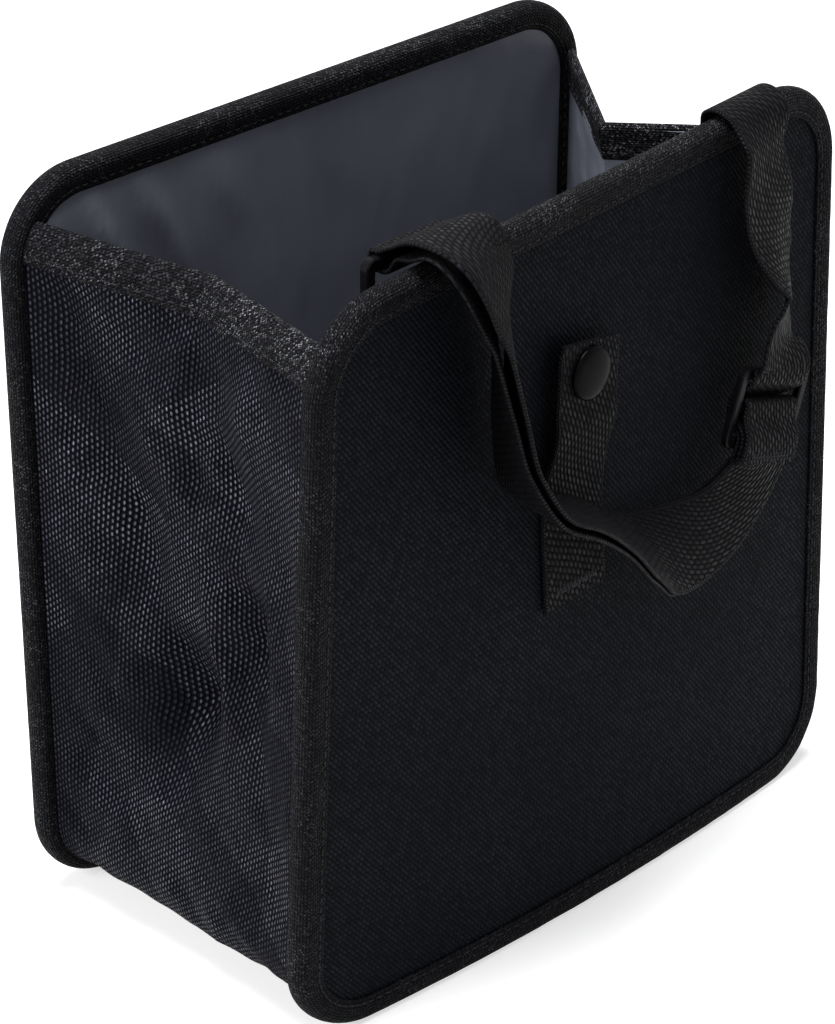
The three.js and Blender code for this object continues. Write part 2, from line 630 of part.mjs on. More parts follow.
// The doubled stretch, from the hump over the left of the front panel down, round and up towards the
// slider: x, out from the front panel, how far below its top, way across. The front layer lies on these
// keys and the running layer lies behind it, gap further back.
const doubled = [
  [-57, -5, -6.2, [1, 0, 0], 4.4],
  [-58.4, 2.5, -7.1, [0.99, 0.11, -0.04], 4.1],
  [-58.4, 9.5, -4.1, [0.93, 0.33, -0.13], 4],
  [-54.9, 12.5, 4.2, [0.89, 0.42, -0.18], 4],
  [-51.9, 12.6, 15.8, [0.72, 0.69, 0.06], 3.6],
  [-48.5, 12.6, 34.3, [0.58, 0.8, 0.12], 3.2],
  [-46.1, 12.8, 51.9, [0.43, 0.9, 0.09], 2.7],
  [-40.1, 13.6, 68.1, [0.16, 0.99, 0.04], 2.5],
  [-28.4, 13.9, 76.7, [0.11, 0.99, 0.03], 2.4],
  [-13.9, 13.5, 86.4, [0.06, 0.96, 0.28], 1.8],
  [-0.9, 12.5, 98, [-0.08, 0.82, 0.57], 1.6],
  [12.1, 10.4, 106.8, [-0.28, 0.56, 0.78], WEB_STEP],
  [26.4, 9.6, 110.8, [-0.48, 0.3, 0.82], WEB_STEP],
  [40.9, 9.6, 109.5, [-0.67, 0.14, 0.72], WEB_STEP],
].map(([x, out, below, across, gap]) => ({ ...frontKey(x, out, PANEL_HEIGHT - below, across), gap }));

function behind(keys, next) {
  return keys.map((here, i) => {
    const before = keys[Math.max(0, i - 1)].at;
    const after = i < keys.length - 1 ? keys[i + 1].at : next;
    const along = after.clone().sub(before).normalize();
    const face = new THREE.Vector3().crossVectors(along, here.across).normalize();
    return { at: here.at.clone().addScaledVector(face, -here.gap), across: here.across };
  });
}

// Round the ring's upper bar, behind the front panel's upper edge
const ringY = FRONT_INNER - standOut(RING_X, RING_TOP_BAR_Z) + RING_STAND_OFF;
const onRing = RING_BAR / 2 + WEB_CLEAR;
const ringCorner = RING_BAR / 2 + WEB_CLEAR / Math.SQRT2;
const atRing = (y, z) => key(RING_X, ringY + y, RING_TOP_BAR_Z + z, [1, 0, 0]);
const roundRing = [
  atRing(-6.4, 2.2),
  atRing(-3.2, -1.9),
  atRing(0, -onRing),
  atRing(ringCorner, -ringCorner),
  atRing(onRing + 0.3, 0),
  atRing(ringCorner, ringCorner),
  atRing(0, onRing),
  atRing(-4, onRing + 2.2),
];

const strapKeys = [
  ...plainEnd,
  ...runThrough,
  ...behind(doubled, sewnEnd[0].at).reverse(),
  ...roundRing,
  ...doubled,
  ...sewnEnd,
];
addPiece('strap', ribbon(strapKeys, WEB_WIDTH, 7), materials.webbing);

// The slider: a frame with two windows, standing along the strap
function barFrame(width, height, windows, thickness, corner) {
  const shape = roundedRectangle(0, 0, width, height, corner);
  for (const [middle, tall, wide] of windows) {
    shape.holes.push(roundedRectangle(0, middle, wide, tall, 0.8));
  }
  const bevel = 0.4;
  const geometry = new THREE.ExtrudeGeometry(shape, {
    depth: thickness - 2 * bevel,
    bevelEnabled: true,
    bevelThickness: bevel,
    bevelSize: bevel,
    bevelOffset: -bevel,
    bevelSegments: 1,
    curveSegments: 3,
  });
  geometry.translate(0, 0, -(thickness / 2 - bevel));
  geometry.rotateX(Math.PI / 2);
  return geometry;
}

function roundedRectangle(x, y, width, height, radius) {
  const shape = new THREE.Shape();
  const right = width / 2 - radius;
  const top = height / 2 - radius;
  shape.absarc(x - right, y - top, radius, Math.PI, 1.5 * Math.PI);
  shape.absarc(x + right, y - top, radius, 1.5 * Math.PI, 2 * Math.PI);
  shape.absarc(x + right, y + top, radius, 0, Math.PI / 2);
  shape.absarc(x - right, y + top, radius, Math.PI / 2, Math.PI);
  shape.closePath();
  return shape;
}

const windowTall = windowEnd - SLIDER_MIDDLE_BAR / 2;
const windowMiddle = (windowEnd + SLIDER_MIDDLE_BAR / 2) / 2;
const windowWide = WEB_WIDTH + 1.5;
const sliderGeometry = barFrame(
  SLIDER_WIDTH,
  2 * (windowEnd + SLIDER_END_BAR),
  [[-windowMiddle, windowTall, windowWide], [windowMiddle, windowTall, windowWide]],
  SLIDER_THICKNESS,
  SLIDER_CORNER,
);
sliderGeometry.rotateY(SLIDER_LEAN);
sliderGeometry.translate(SLIDER_X, sliderY, SLIDER_Z);
addPiece('strap_slider', sliderGeometry, materials.plastic);

const ringGeometry = barFrame(
  RING_WIDTH,
  RING_HEIGHT,
  [[0, RING_HEIGHT - 2 * RING_BAR, RING_WIDTH - 2 * RING_BAR]],
  RING_BAR,
  2.5,
);
const ringMiddleZ = RING_TOP_BAR_Z - (RING_HEIGHT - RING_BAR) / 2;
ringGeometry.translate(RING_X, ringY, ringMiddleZ);
addPiece('strap_ring', ringGeometry, materials.plastic);

// The keeper: webbing sewn flat inside the front panel, looped round the ring's lower bar
const keeperOut = FRONT_FACE - LINING_FACE - WEB_CLEAR;
const lowerBarZ = RING_TOP_BAR_Z - RING_HEIGHT + RING_BAR;
const keeperTop = lowerBarZ - 10;
const onLining = (behindIt, z) => frontKey(RING_X, keeperOut - behindIt, z);
const atLowerBar = (y, z) => key(RING_X, ringY + y, lowerBarZ + z, [1, 0, 0]);
const keeperKeys = [
  onLining(0, keeperTop - KEEPER_LENGTH),
  onLining(0, keeperTop - 6),
  onLining(0, keeperTop),
  onLining(2.4, keeperTop + 5.5),
  atLowerBar(-onRing - 1.6, 0.2),
  atLowerBar(-ringCorner - 0.2, ringCorner),
  atLowerBar(0, onRing),
  atLowerBar(ringCorner, ringCorner),
  atLowerBar(onRing + 0.3, 0),
  atLowerBar(ringCorner, -ringCorner),
  atLowerBar(-1.6, -onRing - 0.9),
  onLining(4.4, keeperTop + 2.2),
  onLining(WEB_STEP + 0.4, keeperTop - 3),
  onLining(WEB_STEP, keeperTop - 7),
  onLining(WEB_STEP, keeperTop - KEEPER_LENGTH),
];
addPiece('ring_loop', ribbon(keeperKeys, WEB_WIDTH, 6), materials.webbing);

// Tab and press stud
// Heights in front of the front cover: the knob's flange, the socket that grips it, the tab, the cap
const TAB_GAP = 0.2; // between the tab and the socket and cap on its two sides
const flangeOut = ON_COVER + FLANGE_THICKNESS;
const knobOut = flangeOut + KNOB_HEIGHT;
const socketOut = flangeOut + STUD_CLEARANCE;
const plateOut = socketOut + SOCKET_DEPTH;
const tabBack = plateOut + SOCKET_PLATE + TAB_GAP;
const tabOut = tabBack + WEB_THICKNESS / 2;
const capOut = tabBack + WEB_THICKNESS + TAB_GAP;
const sewnOut = ON_COVER + WEB_THICKNESS / 2;
const tabKey = (x, out, z) => frontKey(x, FRONT_FACE - COVER_FACE + out, z);
const tabKeys = [
  tabKey(STUD_X, sewnOut, TAB_BOTTOM),
  tabKey(STUD_X - 0.6, sewnOut, TAB_BOTTOM + 12),
  tabKey(STUD_X - 1.6, sewnOut, TAB_BOTTOM + 27),
  tabKey(STUD_X - 1.3, sewnOut + 0.7, TAB_BOTTOM + 39),
  tabKey(STUD_X - 0.7, tabOut + 0.3, STUD_Z - 15),
  tabKey(STUD_X - 0.4, tabOut, STUD_Z - CAP_RADIUS - 1),
  tabKey(STUD_X, tabOut, STUD_Z),
  tabKey(STUD_X + 0.6, tabOut, STUD_Z + CAP_RADIUS),
  tabKey(STUD_X + 0.9, tabOut + 0.2, TAB_TOP),
];
const tabHole = roundHole(STEM_RADIUS + STUD_CLEARANCE, 0, 2 * capOut);
addPiece(
  'snap_tab',
  toGeometry(toSolid(ribbon(tabKeys, TAB_WIDTH, 5)).subtract(tabHole)),
  materials.webbing,
);

// Turned pieces of the stud: profiles of [radius, height in front of the front cover]
function turned(profile) {
  const geometry = new THREE.LatheGeometry(profile.map((p) => new THREE.Vector2(...p)), DISC_STEPS);
  geometry.rotateX(Math.PI / 2);
  geometry.applyMatrix4(studFrame);
  return geometry;
}

const stemEnd = plateOut + LAYER_GAP;
const capProfile = [[0, stemEnd], [STEM_RADIUS, stemEnd], [STEM_RADIUS, capOut], [CAP_RADIUS - 0.3, capOut]];
const DOME_STEPS = 4;
for (let i = 0; i <= DOME_STEPS; i++) {
  const angle = i / DOME_STEPS * Math.PI / 2;
  capProfile.push([
    CAP_RADIUS * Math.cos(angle),
    capOut + CAP_RIM + (CAP_RISE - CAP_RIM) * Math.sin(angle),
  ]);
}
capProfile[capProfile.length - 1][0] = 0;

const socketProfile = [
  [STEM_RADIUS + STUD_CLEARANCE, plateOut],
  [KNOB_RADIUS + STUD_CLEARANCE, plateOut],
  [KNOB_RADIUS + STUD_CLEARANCE, socketOut],
  [SOCKET_RADIUS - 0.8, socketOut],
  [SOCKET_RADIUS, socketOut + 0.6],
  [SOCKET_RADIUS, plateOut + SOCKET_PLATE],
  [STEM_RADIUS + STUD_CLEARANCE, plateOut + SOCKET_PLATE],
  [STEM_RADIUS + STUD_CLEARANCE, plateOut],
];

const studProfile = [
  [0, ON_COVER],
  [FLANGE_RADIUS, ON_COVER],
  [FLANGE_RADIUS, flangeOut],
  [KNOB_RADIUS - 0.4, flangeOut],
  [KNOB_RADIUS, flangeOut + 0.6 * KNOB_HEIGHT],
  [KNOB_RADIUS - 0.5, knobOut],
  [0, knobOut],
];

// The post's head lies in the board's pocket and its stem reaches the stud's flange.
const headTop = boardBack + FLANGE_THICKNESS + STUD_CLEARANCE;
const postProfile = [
  [0, headTop - FLANGE_THICKNESS],
  [FLANGE_RADIUS, headTop - FLANGE_THICKNESS],
  [FLANGE_RADIUS, headTop],
  [STEM_RADIUS, headTop],
  [STEM_RADIUS, ON_COVER - LAYER_GAP],
  [0, ON_COVER - LAYER_GAP],
];
addPiece('snap_cap', turned(capProfile), materials.snap);
addPiece('snap_socket', turned(socketProfile), materials.snap);
addPiece('snap_stud', turned(studProfile), materials.snap);
addPiece('snap_post', turned(postProfile), materials.snap);

// The group's origin is the middle of the footprint of its box, on the floor.
group.updateMatrixWorld(true);
const box = new THREE.Box3().setFromObject(group, true);
group.position.set(-(box.min.x + box.max.x) / 2, -(box.min.y + box.max.y) / 2, -box.min.z);

export default group;
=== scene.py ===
import math

import bmesh
import bpy
import numpy as np
from mathutils import Matrix, Vector, noise


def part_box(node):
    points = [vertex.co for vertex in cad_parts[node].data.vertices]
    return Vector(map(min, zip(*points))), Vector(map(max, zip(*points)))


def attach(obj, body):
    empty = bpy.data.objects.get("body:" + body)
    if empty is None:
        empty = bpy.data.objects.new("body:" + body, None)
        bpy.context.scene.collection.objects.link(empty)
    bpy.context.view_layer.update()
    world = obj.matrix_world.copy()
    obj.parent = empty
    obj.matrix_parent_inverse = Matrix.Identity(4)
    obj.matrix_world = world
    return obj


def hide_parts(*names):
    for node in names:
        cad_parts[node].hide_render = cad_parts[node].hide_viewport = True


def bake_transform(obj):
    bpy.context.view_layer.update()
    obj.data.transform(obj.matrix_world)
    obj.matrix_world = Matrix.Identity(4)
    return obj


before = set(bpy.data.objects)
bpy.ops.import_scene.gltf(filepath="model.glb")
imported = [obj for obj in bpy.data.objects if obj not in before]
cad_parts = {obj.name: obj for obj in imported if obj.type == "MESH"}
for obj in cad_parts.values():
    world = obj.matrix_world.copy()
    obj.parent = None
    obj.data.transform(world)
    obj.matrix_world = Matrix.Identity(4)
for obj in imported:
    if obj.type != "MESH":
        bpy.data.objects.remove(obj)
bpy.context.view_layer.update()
MM = 0.001

# Sizes of the bag in millimetres, as its solids have them
PANEL_WIDTH = 213
PANEL_HEIGHT = 220
CORNER_RADIUS = 24.5
PANEL_SPACING = 102
REAR_TURN = math.radians(-2.2)
FRONT_BOW = 6.4
FRONT_TWIST = 5.5
BODY_THICKNESS = 4.4  # cover, board and lining together
PANEL_THICKNESS = 7.4  # with the binding
BINDING_WIDTH = 8
SEAM_INSET = 4
LEFT_TOP = 208
RIGHT_TOP = 201
RIGHT_FOLD_DEPTH = 36
LEFT_FOLD_DEPTH = 13
FOLD_FOOT = 12
LEFT_DIP = 0.2
GUSSET_CLOTH = 0.8
GUSSET_LINING = 0.5
GUSSET_GAP = 0.3
END_BINDING_HEIGHT = 10.5
END_BINDING_TAPE = 0.9
WEB_WIDTH = 25
WEB_THICKNESS = 1.2
WEB_GAP = 0.35
STUD_X = -8.7
STUD_Z = 172

# The panels' middle planes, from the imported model
rear_low, rear_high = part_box("rear_binding")
REAR_Y = (rear_low.y + rear_high.y) / 2 / MM
FRONT_Y = REAR_Y - PANEL_SPACING
FRONT_FACE = FRONT_Y - PANEL_THICKNESS / 2
FRONT_INNER = FRONT_Y + PANEL_THICKNESS / 2


# Camera
# The photograph's viewing direction, distance and focal length in pixels of its 835 by 1024 frame
VIEW_YAW = math.radians(46.78)
VIEW_PITCH = math.radians(29.49)
VIEW_ROLL = math.radians(0.36)
FOCAL_PIXELS = 3294.1
FRAME_HEIGHT = 1024
SENSOR = 36
CAMERA_PLACE = Vector((-591.54, FRONT_Y + 51 - 547.07, 559.27)) * MM


def add_camera():
    forward = Vector((
        math.sin(VIEW_YAW) * math.cos(VIEW_PITCH),
        math.cos(VIEW_YAW) * math.cos(VIEW_PITCH),
        -math.sin(VIEW_PITCH),
    ))
    right = Vector((math.cos(VIEW_YAW), -math.sin(VIEW_YAW), 0))
    up = right.cross(forward)
    right, up = (
        right * math.cos(VIEW_ROLL) + up * math.sin(VIEW_ROLL),
        up * math.cos(VIEW_ROLL) - right * math.sin(VIEW_ROLL),
    )
    data = bpy.data.cameras.new("camera")
    data.sensor_width = SENSOR
    data.lens = FOCAL_PIXELS / FRAME_HEIGHT * SENSOR
    data.clip_start = 0.01
    data.clip_end = 20
    camera = bpy.data.objects.new("camera", data)
    turn = Matrix((right, up, -forward)).transposed()
    camera.matrix_world = Matrix.Translation(CAMERA_PLACE) @ turn.to_4x4()
    bpy.context.scene.collection.objects.link(camera)
    bpy.context.scene.camera = camera


add_camera()


# Finishes
class Finish:
    """A material whose nodes are written as expressions. Lengths in its patterns are millimetres."""

    def __init__(self, name):
        self.material = bpy.data.materials.new(name)
        self.material.use_nodes = True
        self.tree = self.material.node_tree
        self.tree.nodes.clear()

    def add(self, kind, **settings):
        node = self.tree.nodes.new(kind)
        for key, value in settings.items():
            setattr(node, key, value)
        return node

    def feed(self, socket, value):
        if isinstance(value, bpy.types.NodeSocket):
            self.tree.links.new(value, socket)
        else:
            socket.default_value = value

    def math(self, operation, *values):
        node = self.add("ShaderNodeMath", operation=operation)
        for socket, value in zip(node.inputs, values):
            self.feed(socket, value)
        return node.outputs[0]

    def times(self, one, other):
        return self.math("MULTIPLY", one, other)

    def dim(self, height, own, dimmest):
        """Thread tops that differ in brightness by the number that each has."""
        return self.times(height, self.spread(own, 0.0, 1.0, dimmest, 1.0))

    def along_across(self):
        split = self.add("ShaderNodeSeparateXYZ")
        self.feed(split.inputs[0], self.add("ShaderNodeTexCoord").outputs["UV"])
        return split.outputs[0], split.outputs[1]

    def noise(self, scale, detail, stretch=(1, 1, 1)):
        """Soft spots, scale of them in a millimetre of the piece."""
        node = self.add("ShaderNodeTexNoise")
        mapping = self.add("ShaderNodeMapping")
        mapping.inputs["Scale"].default_value = [s / MM for s in stretch]
        self.feed(mapping.inputs["Vector"], self.add("ShaderNodeTexCoord").outputs["Object"])
        self.feed(node.inputs["Vector"], mapping.outputs[0])
        node.inputs["Scale"].default_value = scale
        node.inputs["Detail"].default_value = detail
        return node.outputs[0]

    def spread(self, value, low, high, to_low, to_high):
        node = self.add("ShaderNodeMapRange")
        for socket, given in zip(node.inputs, (value, low, high, to_low, to_high)):
            self.feed(socket, given)
        return node.outputs[0]

    def mix(self, share, one, other):
        node = self.add("ShaderNodeMix", data_type="RGBA")
        self.feed(node.inputs[0], share)
        for socket, value in zip(node.inputs[6:8], (one, other)):
            self.feed(socket, value if isinstance(value, bpy.types.NodeSocket) else (*value, 1))
        return node.outputs[2]

    def bump(self, height, depth, under=None):
        """Relief of that depth in millimetres."""
        node = self.add("ShaderNodeBump")
        node.inputs["Distance"].default_value = depth * MM
        self.feed(node.inputs["Height"], height)
        if under:
            self.feed(node.inputs["Normal"], under)
        return node.outputs[0]

    def ovals(self, along, across, length, width, fill_long, fill_wide, shift=0.5):
        """Rows of thread tops, each row a share of a thread further on: their height, and a number
        for each. The fills are half a top's length and width, as shares of its place in the weave."""
        rows = self.math("DIVIDE", across, width)
        row = self.math("FLOOR", rows)
        shifted = self.math("ADD", self.math("DIVIDE", along, length), self.times(row, shift))
        squares = []
        for place, fill in ((shifted, fill_long), (rows, fill_wide)):
            off = self.math("ABSOLUTE", self.math("SUBTRACT", self.math("FRACT", place), 0.5))
            squares.append(self.math("POWER", self.math("DIVIDE", off, fill), 2.0))
        inside = self.math("SUBTRACT", 1.0, self.math("ADD", *squares))
        height = self.math("SQRT", self.math("MAXIMUM", inside, 0.0))
        cell = self.add("ShaderNodeCombineXYZ")
        self.feed(cell.inputs[0], self.math("FLOOR", shifted))
        self.feed(cell.inputs[1], row)
        own = self.add("ShaderNodeTexWhiteNoise", noise_dimensions="2D")
        self.feed(own.inputs["Vector"], cell.outputs[0])
        return height, own.outputs[0]

    def facets(self, along, across, length, width, lean, dimmest):
        """Pressed flats of the cloth: a painted brightness for each, standing in for how the light
        falls on it, and how far a point lies from its creases.
        """
        node = self.add("ShaderNodeTexVoronoi", voronoi_dimensions="2D")
        edge = self.add("ShaderNodeTexVoronoi", voronoi_dimensions="2D", feature="DISTANCE_TO_EDGE")
        place = self.add("ShaderNodeCombineXYZ")
        slanting = self.math("ADD", across, self.times(along, lean))
        self.feed(place.inputs[0], self.math("DIVIDE", along, length))
        self.feed(place.inputs[1], self.math("DIVIDE", slanting, width))
        for cells in (node, edge):
            self.feed(cells.inputs["Vector"], place.outputs[0])
            cells.inputs["Scale"].default_value = 1
        split = self.add("ShaderNodeSeparateColor")
        self.feed(split.inputs[0], node.outputs["Color"])
        return self.spread(split.outputs[0], 0.15, 0.6, dimmest, 1.0), edge.outputs["Distance"]

    def done(self, **inputs):
        shader = self.add("ShaderNodeBsdfPrincipled")
        for name, value in inputs.items():
            socket = shader.inputs[name.replace("_", " ").title().replace("Ior", "IOR")]
            self.feed(socket, value)
        output = self.add("ShaderNodeOutputMaterial")
        self.feed(output.inputs[0], shader.outputs[0])
        return self.material


def cover_finish():
    """Twill: slanting ridges of short threads, with painted shade in the dark lines between them."""
    f = Finish("cover_twill")
    across, up = f.along_across()
    slant = f.math("ADD", f.times(across, 0.78), f.times(up, 0.62))
    other = f.math("SUBTRACT", f.times(across, 0.62), f.times(up, 0.78))
    height, own = f.ovals(other, slant, 1.9, 1.2, 0.6, 0.46)
    tone = f.dim(height, own, 0.4)
    tone = f.times(tone, f.spread(f.noise(0.02, 2), 0.3, 0.7, 0.7, 1.0))
    # thread tops lighter and gaps darkened with painted shade; the tops' own numbers and soft spots
    # vary at random
    colour = f.mix(tone, (0.0007, 0.001, 0.0019), (0.0062, 0.0074, 0.0112))
    relief = f.bump(height, 0.25, f.bump(f.noise(0.12, 3), 0.3))
    gloss = f.spread(tone, 0.0, 1.0, 0.85, 0.55)
    return f.done(base_color=colour, roughness=gloss, specular_ior_level=0.05, normal=relief)


def gusset_finish():
    """Coated oxford cloth: narrow thread tops that catch the light through a metallic share, on a
    nearly black ground with painted shade in the gaps. Each pressed flat gets a painted brightness for
    how the light falls on it.
    """
    f = Finish("gusset_oxford")
    along, across = f.along_across()
    thread_long, thread_wide = 1.95, 1.1
    height, own = f.ovals(along, across, thread_long, thread_wide, 0.33, 0.24)
    body, _ = f.ovals(along, across, thread_long, thread_wide, 0.52, 0.5)
    flats, crease = f.facets(along, across, 40, 20, 0.75, 0.38)
    large, large_crease = f.facets(along, across, 58, 30, -0.6, 0.55)
    patches = f.spread(f.noise(0.07, 2), 0.36, 0.5, 0.7, 1.0)
    # painted light and shade of the pressed flats, times soft patches of random tone
    facet_light_and_patches = f.times(patches, f.times(flats, large))
    tone = f.dim(f.times(height, facet_light_and_patches), own, 0.4)
    # painted shade in the gaps between the thread bodies
    colour = f.mix(body, (0.0008, 0.0009, 0.002), (0.0032, 0.0034, 0.0068))
    # thread tops lighter by the same share that makes them metallic: partly a painted highlight, partly
    # the lamps' reflection in the metallic share
    colour = f.mix(tone, colour, (0.12, 0.125, 0.15))
    gloss = f.spread(tone, 0.0, 0.5, 0.75, 0.36)
    relief = f.bump(crease, 5.0, f.bump(large_crease, 6.0, f.bump(f.noise(0.2, 4), 0.5)))
    relief = f.bump(body, 0.35, relief)
    return f.done(
        base_color=colour, metallic=tone, roughness=gloss, specular_ior_level=0.04, normal=relief)


def binding_finish(name, sparkle):
    """Binding tape: small slanting ribs with painted shade between them, and short painted glints on
    threads here and there.
    """
    f = Finish(name)
    along, across = f.along_across()
    lean = f.math("ADD", along, f.times(across, 0.6))
    height, own = f.ovals(lean, across, 1.3, 0.82, 0.5, 0.46)
    fine, fine_own = f.ovals(across, lean, 0.8, 0.5, 0.4, 0.36)
    # short painted glints on single threads, more of them in soft patches
    bright = f.math("POWER", fine_own, 4.0)
    patches = f.spread(f.noise(0.06, 3), 0.4, 0.65, 0.25 * sparkle, sparkle)
    painted_glint = f.times(f.times(bright, fine), patches)
    tone = f.dim(height, own, 0.3)
    # painted shade in the gaps between the ribs
    colour = f.mix(tone, (0.0007, 0.0007, 0.0011), (0.0068, 0.007, 0.0095))
    colour = f.mix(painted_glint, colour, (0.3, 0.305, 0.325))
    gloss = f.spread(tone, 0.0, 1.0, 0.8, 0.45)
    relief = f.bump(height, 0.42, f.bump(f.noise(0.3, 3), 0.4))
    return f.done(base_color=colour, roughness=gloss, specular_ior_level=0.05, normal=relief)


def webbing_finish():
    """Webbing of plump slanting threads with painted shade in the dark gaps, and a tight selvedge."""
    f = Finish("webbing_weave")
    along, across = f.along_across()
    side = f.math("ABSOLUTE", across)
    lean = f.math("ADD", across, f.times(along, 0.35))
    height, own = f.ovals(along, lean, 2.7, 1.42, 0.5, 0.44, 0.38)
    edge_height, _ = f.ovals(along, across, 1.1, 0.8, 0.46, 0.5)
    selvedge = WEB_WIDTH / 2 - 1.3
    at_edge = f.spread(side, selvedge - 0.3, selvedge, 0.0, 1.0)
    inner = f.times(height, f.math("SUBTRACT", 1.0, at_edge))
    shown = f.math("ADD", inner, f.times(edge_height, at_edge))
    tone = f.math("POWER", shown, 1.6)
    tone = f.dim(tone, own, 0.4)
    # thread tops lighter and gaps darkened with painted shade, the tops varying at random
    colour = f.mix(tone, (0.0004, 0.0004, 0.0007), (0.0058, 0.0059, 0.0084))
    gloss = f.spread(tone, 0.0, 1.0, 0.8, 0.3)
    relief = f.bump(shown, 0.5, f.bump(f.noise(0.35, 3), 0.3))
    return f.done(base_color=colour, roughness=gloss, specular_ior_level=0.06, normal=relief)


def lining_finish():
    """Semi-gloss film with a soft grain."""
    f = Finish("lining_film")
    spots = f.noise(0.02, 3)
    colour = f.mix(f.spread(spots, 0.3, 0.7, 0.0, 1.0), (0.11, 0.116, 0.146), (0.14, 0.147, 0.182))
    grain = f.bump(f.noise(0.9, 3), 0.05)
    relief = f.bump(f.noise(0.05, 2, stretch=(1, 1, 0.35)), 1.8, grain)
    gloss = f.spread(f.noise(0.4, 3), 0.3, 0.7, 0.34, 0.42)
    return f.done(base_color=colour, roughness=gloss, specular_ior_level=0.16, normal=relief)


def plastic_finish(name, dark, rough, level):
    """Moulded plastic with a faint grain and cloudy gloss."""
    f = Finish(name)
    spots = f.noise(0.25, 4)
    colour = f.mix(f.spread(spots, 0.35, 0.7, 0.0, 1.0), dark, tuple(2.1 * c for c in dark))
    gloss = f.spread(f.noise(0.8, 3), 0.3, 0.7, rough - 0.05, rough + 0.06)
    grain = f.bump(f.noise(2.4, 2), 0.02)
    return f.done(base_color=colour, roughness=gloss, specular_ior_level=level, normal=grain)


def thread_finish():
    """Sewing thread: two plies twisted together, with painted shade in the grooves between them."""
    f = Finish("sewing_thread")
    along, across = f.along_across()
    ply = f.math("SINE", f.times(f.math("ADD", along, across), 9.0))
    # painted shade in the grooves of the twist, lighter on the plies' crowns
    colour = f.mix(f.spread(ply, -1.0, 1.0, 0.0, 1.0), (0.006, 0.006, 0.008), (0.03, 0.031, 0.036))
    twist = f.bump(ply, 0.1)
    return f.done(base_color=colour, roughness=0.5, specular_ior_level=0.1, normal=twist)


COVER = cover_finish()
GUSSET = gusset_finish()
# the second number sets how strong the painted glints are
BINDING = binding_finish("binding_tape", 0.35)
END_BINDING = binding_finish("end_binding_tape", 1.0)
WEBBING = webbing_finish()
LINING = lining_finish()
PLASTIC = plastic_finish("moulded_plastic", (0.002, 0.002, 0.0026), 0.3, 0.06)
SNAP = plastic_finish("snap_plastic", (0.0015, 0.0015, 0.002), 0.16, 0.025)
BOARD = plastic_finish("board_sheet", (0.02, 0.02, 0.024), 0.6, 0.1)
THREAD = thread_finish()


# Meshes
def grid(down, across):
    """The weave's place for every pair of a distance down a piece and one across it."""
    return np.stack(np.broadcast_arrays(down[:, None], across[None, :]), -1)


def two_faced(front, back, flat):
    """Rings round a thin sheet with a front and a back face, and their places in the weave."""
    rings = np.concatenate([front, back[:, ::-1]], axis=1)
    return rings, np.concatenate([flat, flat[:, ::-1], flat[:, :1]], axis=1)


def cloudy(points, period, seed):
    """Smooth unevenness from -1 to 1 at each point, its spots about period millimetres wide."""
    flat = np.asarray(points, float).reshape(-1, 3) / period + seed * 7.3
    found = [noise.noise(Vector(p)) for p in flat]
    return np.array(found).reshape(np.shape(points)[:-1])


def new_piece(name, mesh, material, sharp=40):
    bm = bmesh.new()
    bm.from_mesh(mesh)
    bmesh.ops.recalc_face_normals(bm, faces=bm.faces)
    bm.to_mesh(mesh)
    bm.free()
    mesh.shade_smooth()
    mesh.set_sharp_from_angle(angle=math.radians(sharp))
    mesh.materials.append(material)
    piece = bpy.data.objects.new(name, mesh)
    bpy.context.scene.collection.objects.link(piece)
    return piece


def shell(name, rings, uv, material, looped=False, sharp=40):
    """A closed skin over rings[i, k], each ring closed on itself. Ends are capped unless the rings are
    looped. uv has one more column than the rings, and one more row if they are looped."""
    count, around = rings.shape[:2]
    i = np.arange(count if looped else count - 1)[:, None]
    k = np.arange(around)[None, :]
    corners = [(i, k), (i, k + 1), (i + 1, k + 1), (i + 1, k)]
    quads = np.stack([(r % count) * around + c % around for r, c in corners], -1).reshape(-1, 4)
    maps = np.stack([uv[r, c] for r, c in corners], -2).reshape(-1, 2)
    faces = quads.tolist()
    if not looped:
        faces.append(list(range(around))[::-1])
        faces.append(list(range((count - 1) * around, count * around)))
        maps = np.concatenate([maps, uv[0, :around][::-1], uv[-1, :around]])
    mesh = bpy.data.meshes.new(name)
    mesh.from_pydata((rings.reshape(-1, 3) * MM).tolist(), [], faces)
    layer = mesh.uv_layers.new(name="weave")
    layer.data.foreach_set("uv", maps.astype(np.float32).ravel())
    return new_piece(name, mesh, material, sharp)


# Panels
def stand_out(x, z):
    across = 2 * x / PANEL_WIDTH
    up = z / PANEL_HEIGHT
    return FRONT_BOW * (1 - across ** 2) * (1 - up) - FRONT_TWIST * across * (2 * up - 1)


def on_panel(side, x, out, z):
    """Points that lie out from a panel's middle plane, away from the bag's inside."""
    if side == "front":
        return np.stack([x, FRONT_Y - stand_out(x, z) - out, z + 0 * out], -1)
    turned_x = x * math.cos(REAR_TURN) - out * math.sin(REAR_TURN)
    turned_y = x * math.sin(REAR_TURN) + out * math.cos(REAR_TURN)
    return np.stack([turned_x, REAR_Y + turned_y, z + 0 * out], -1)


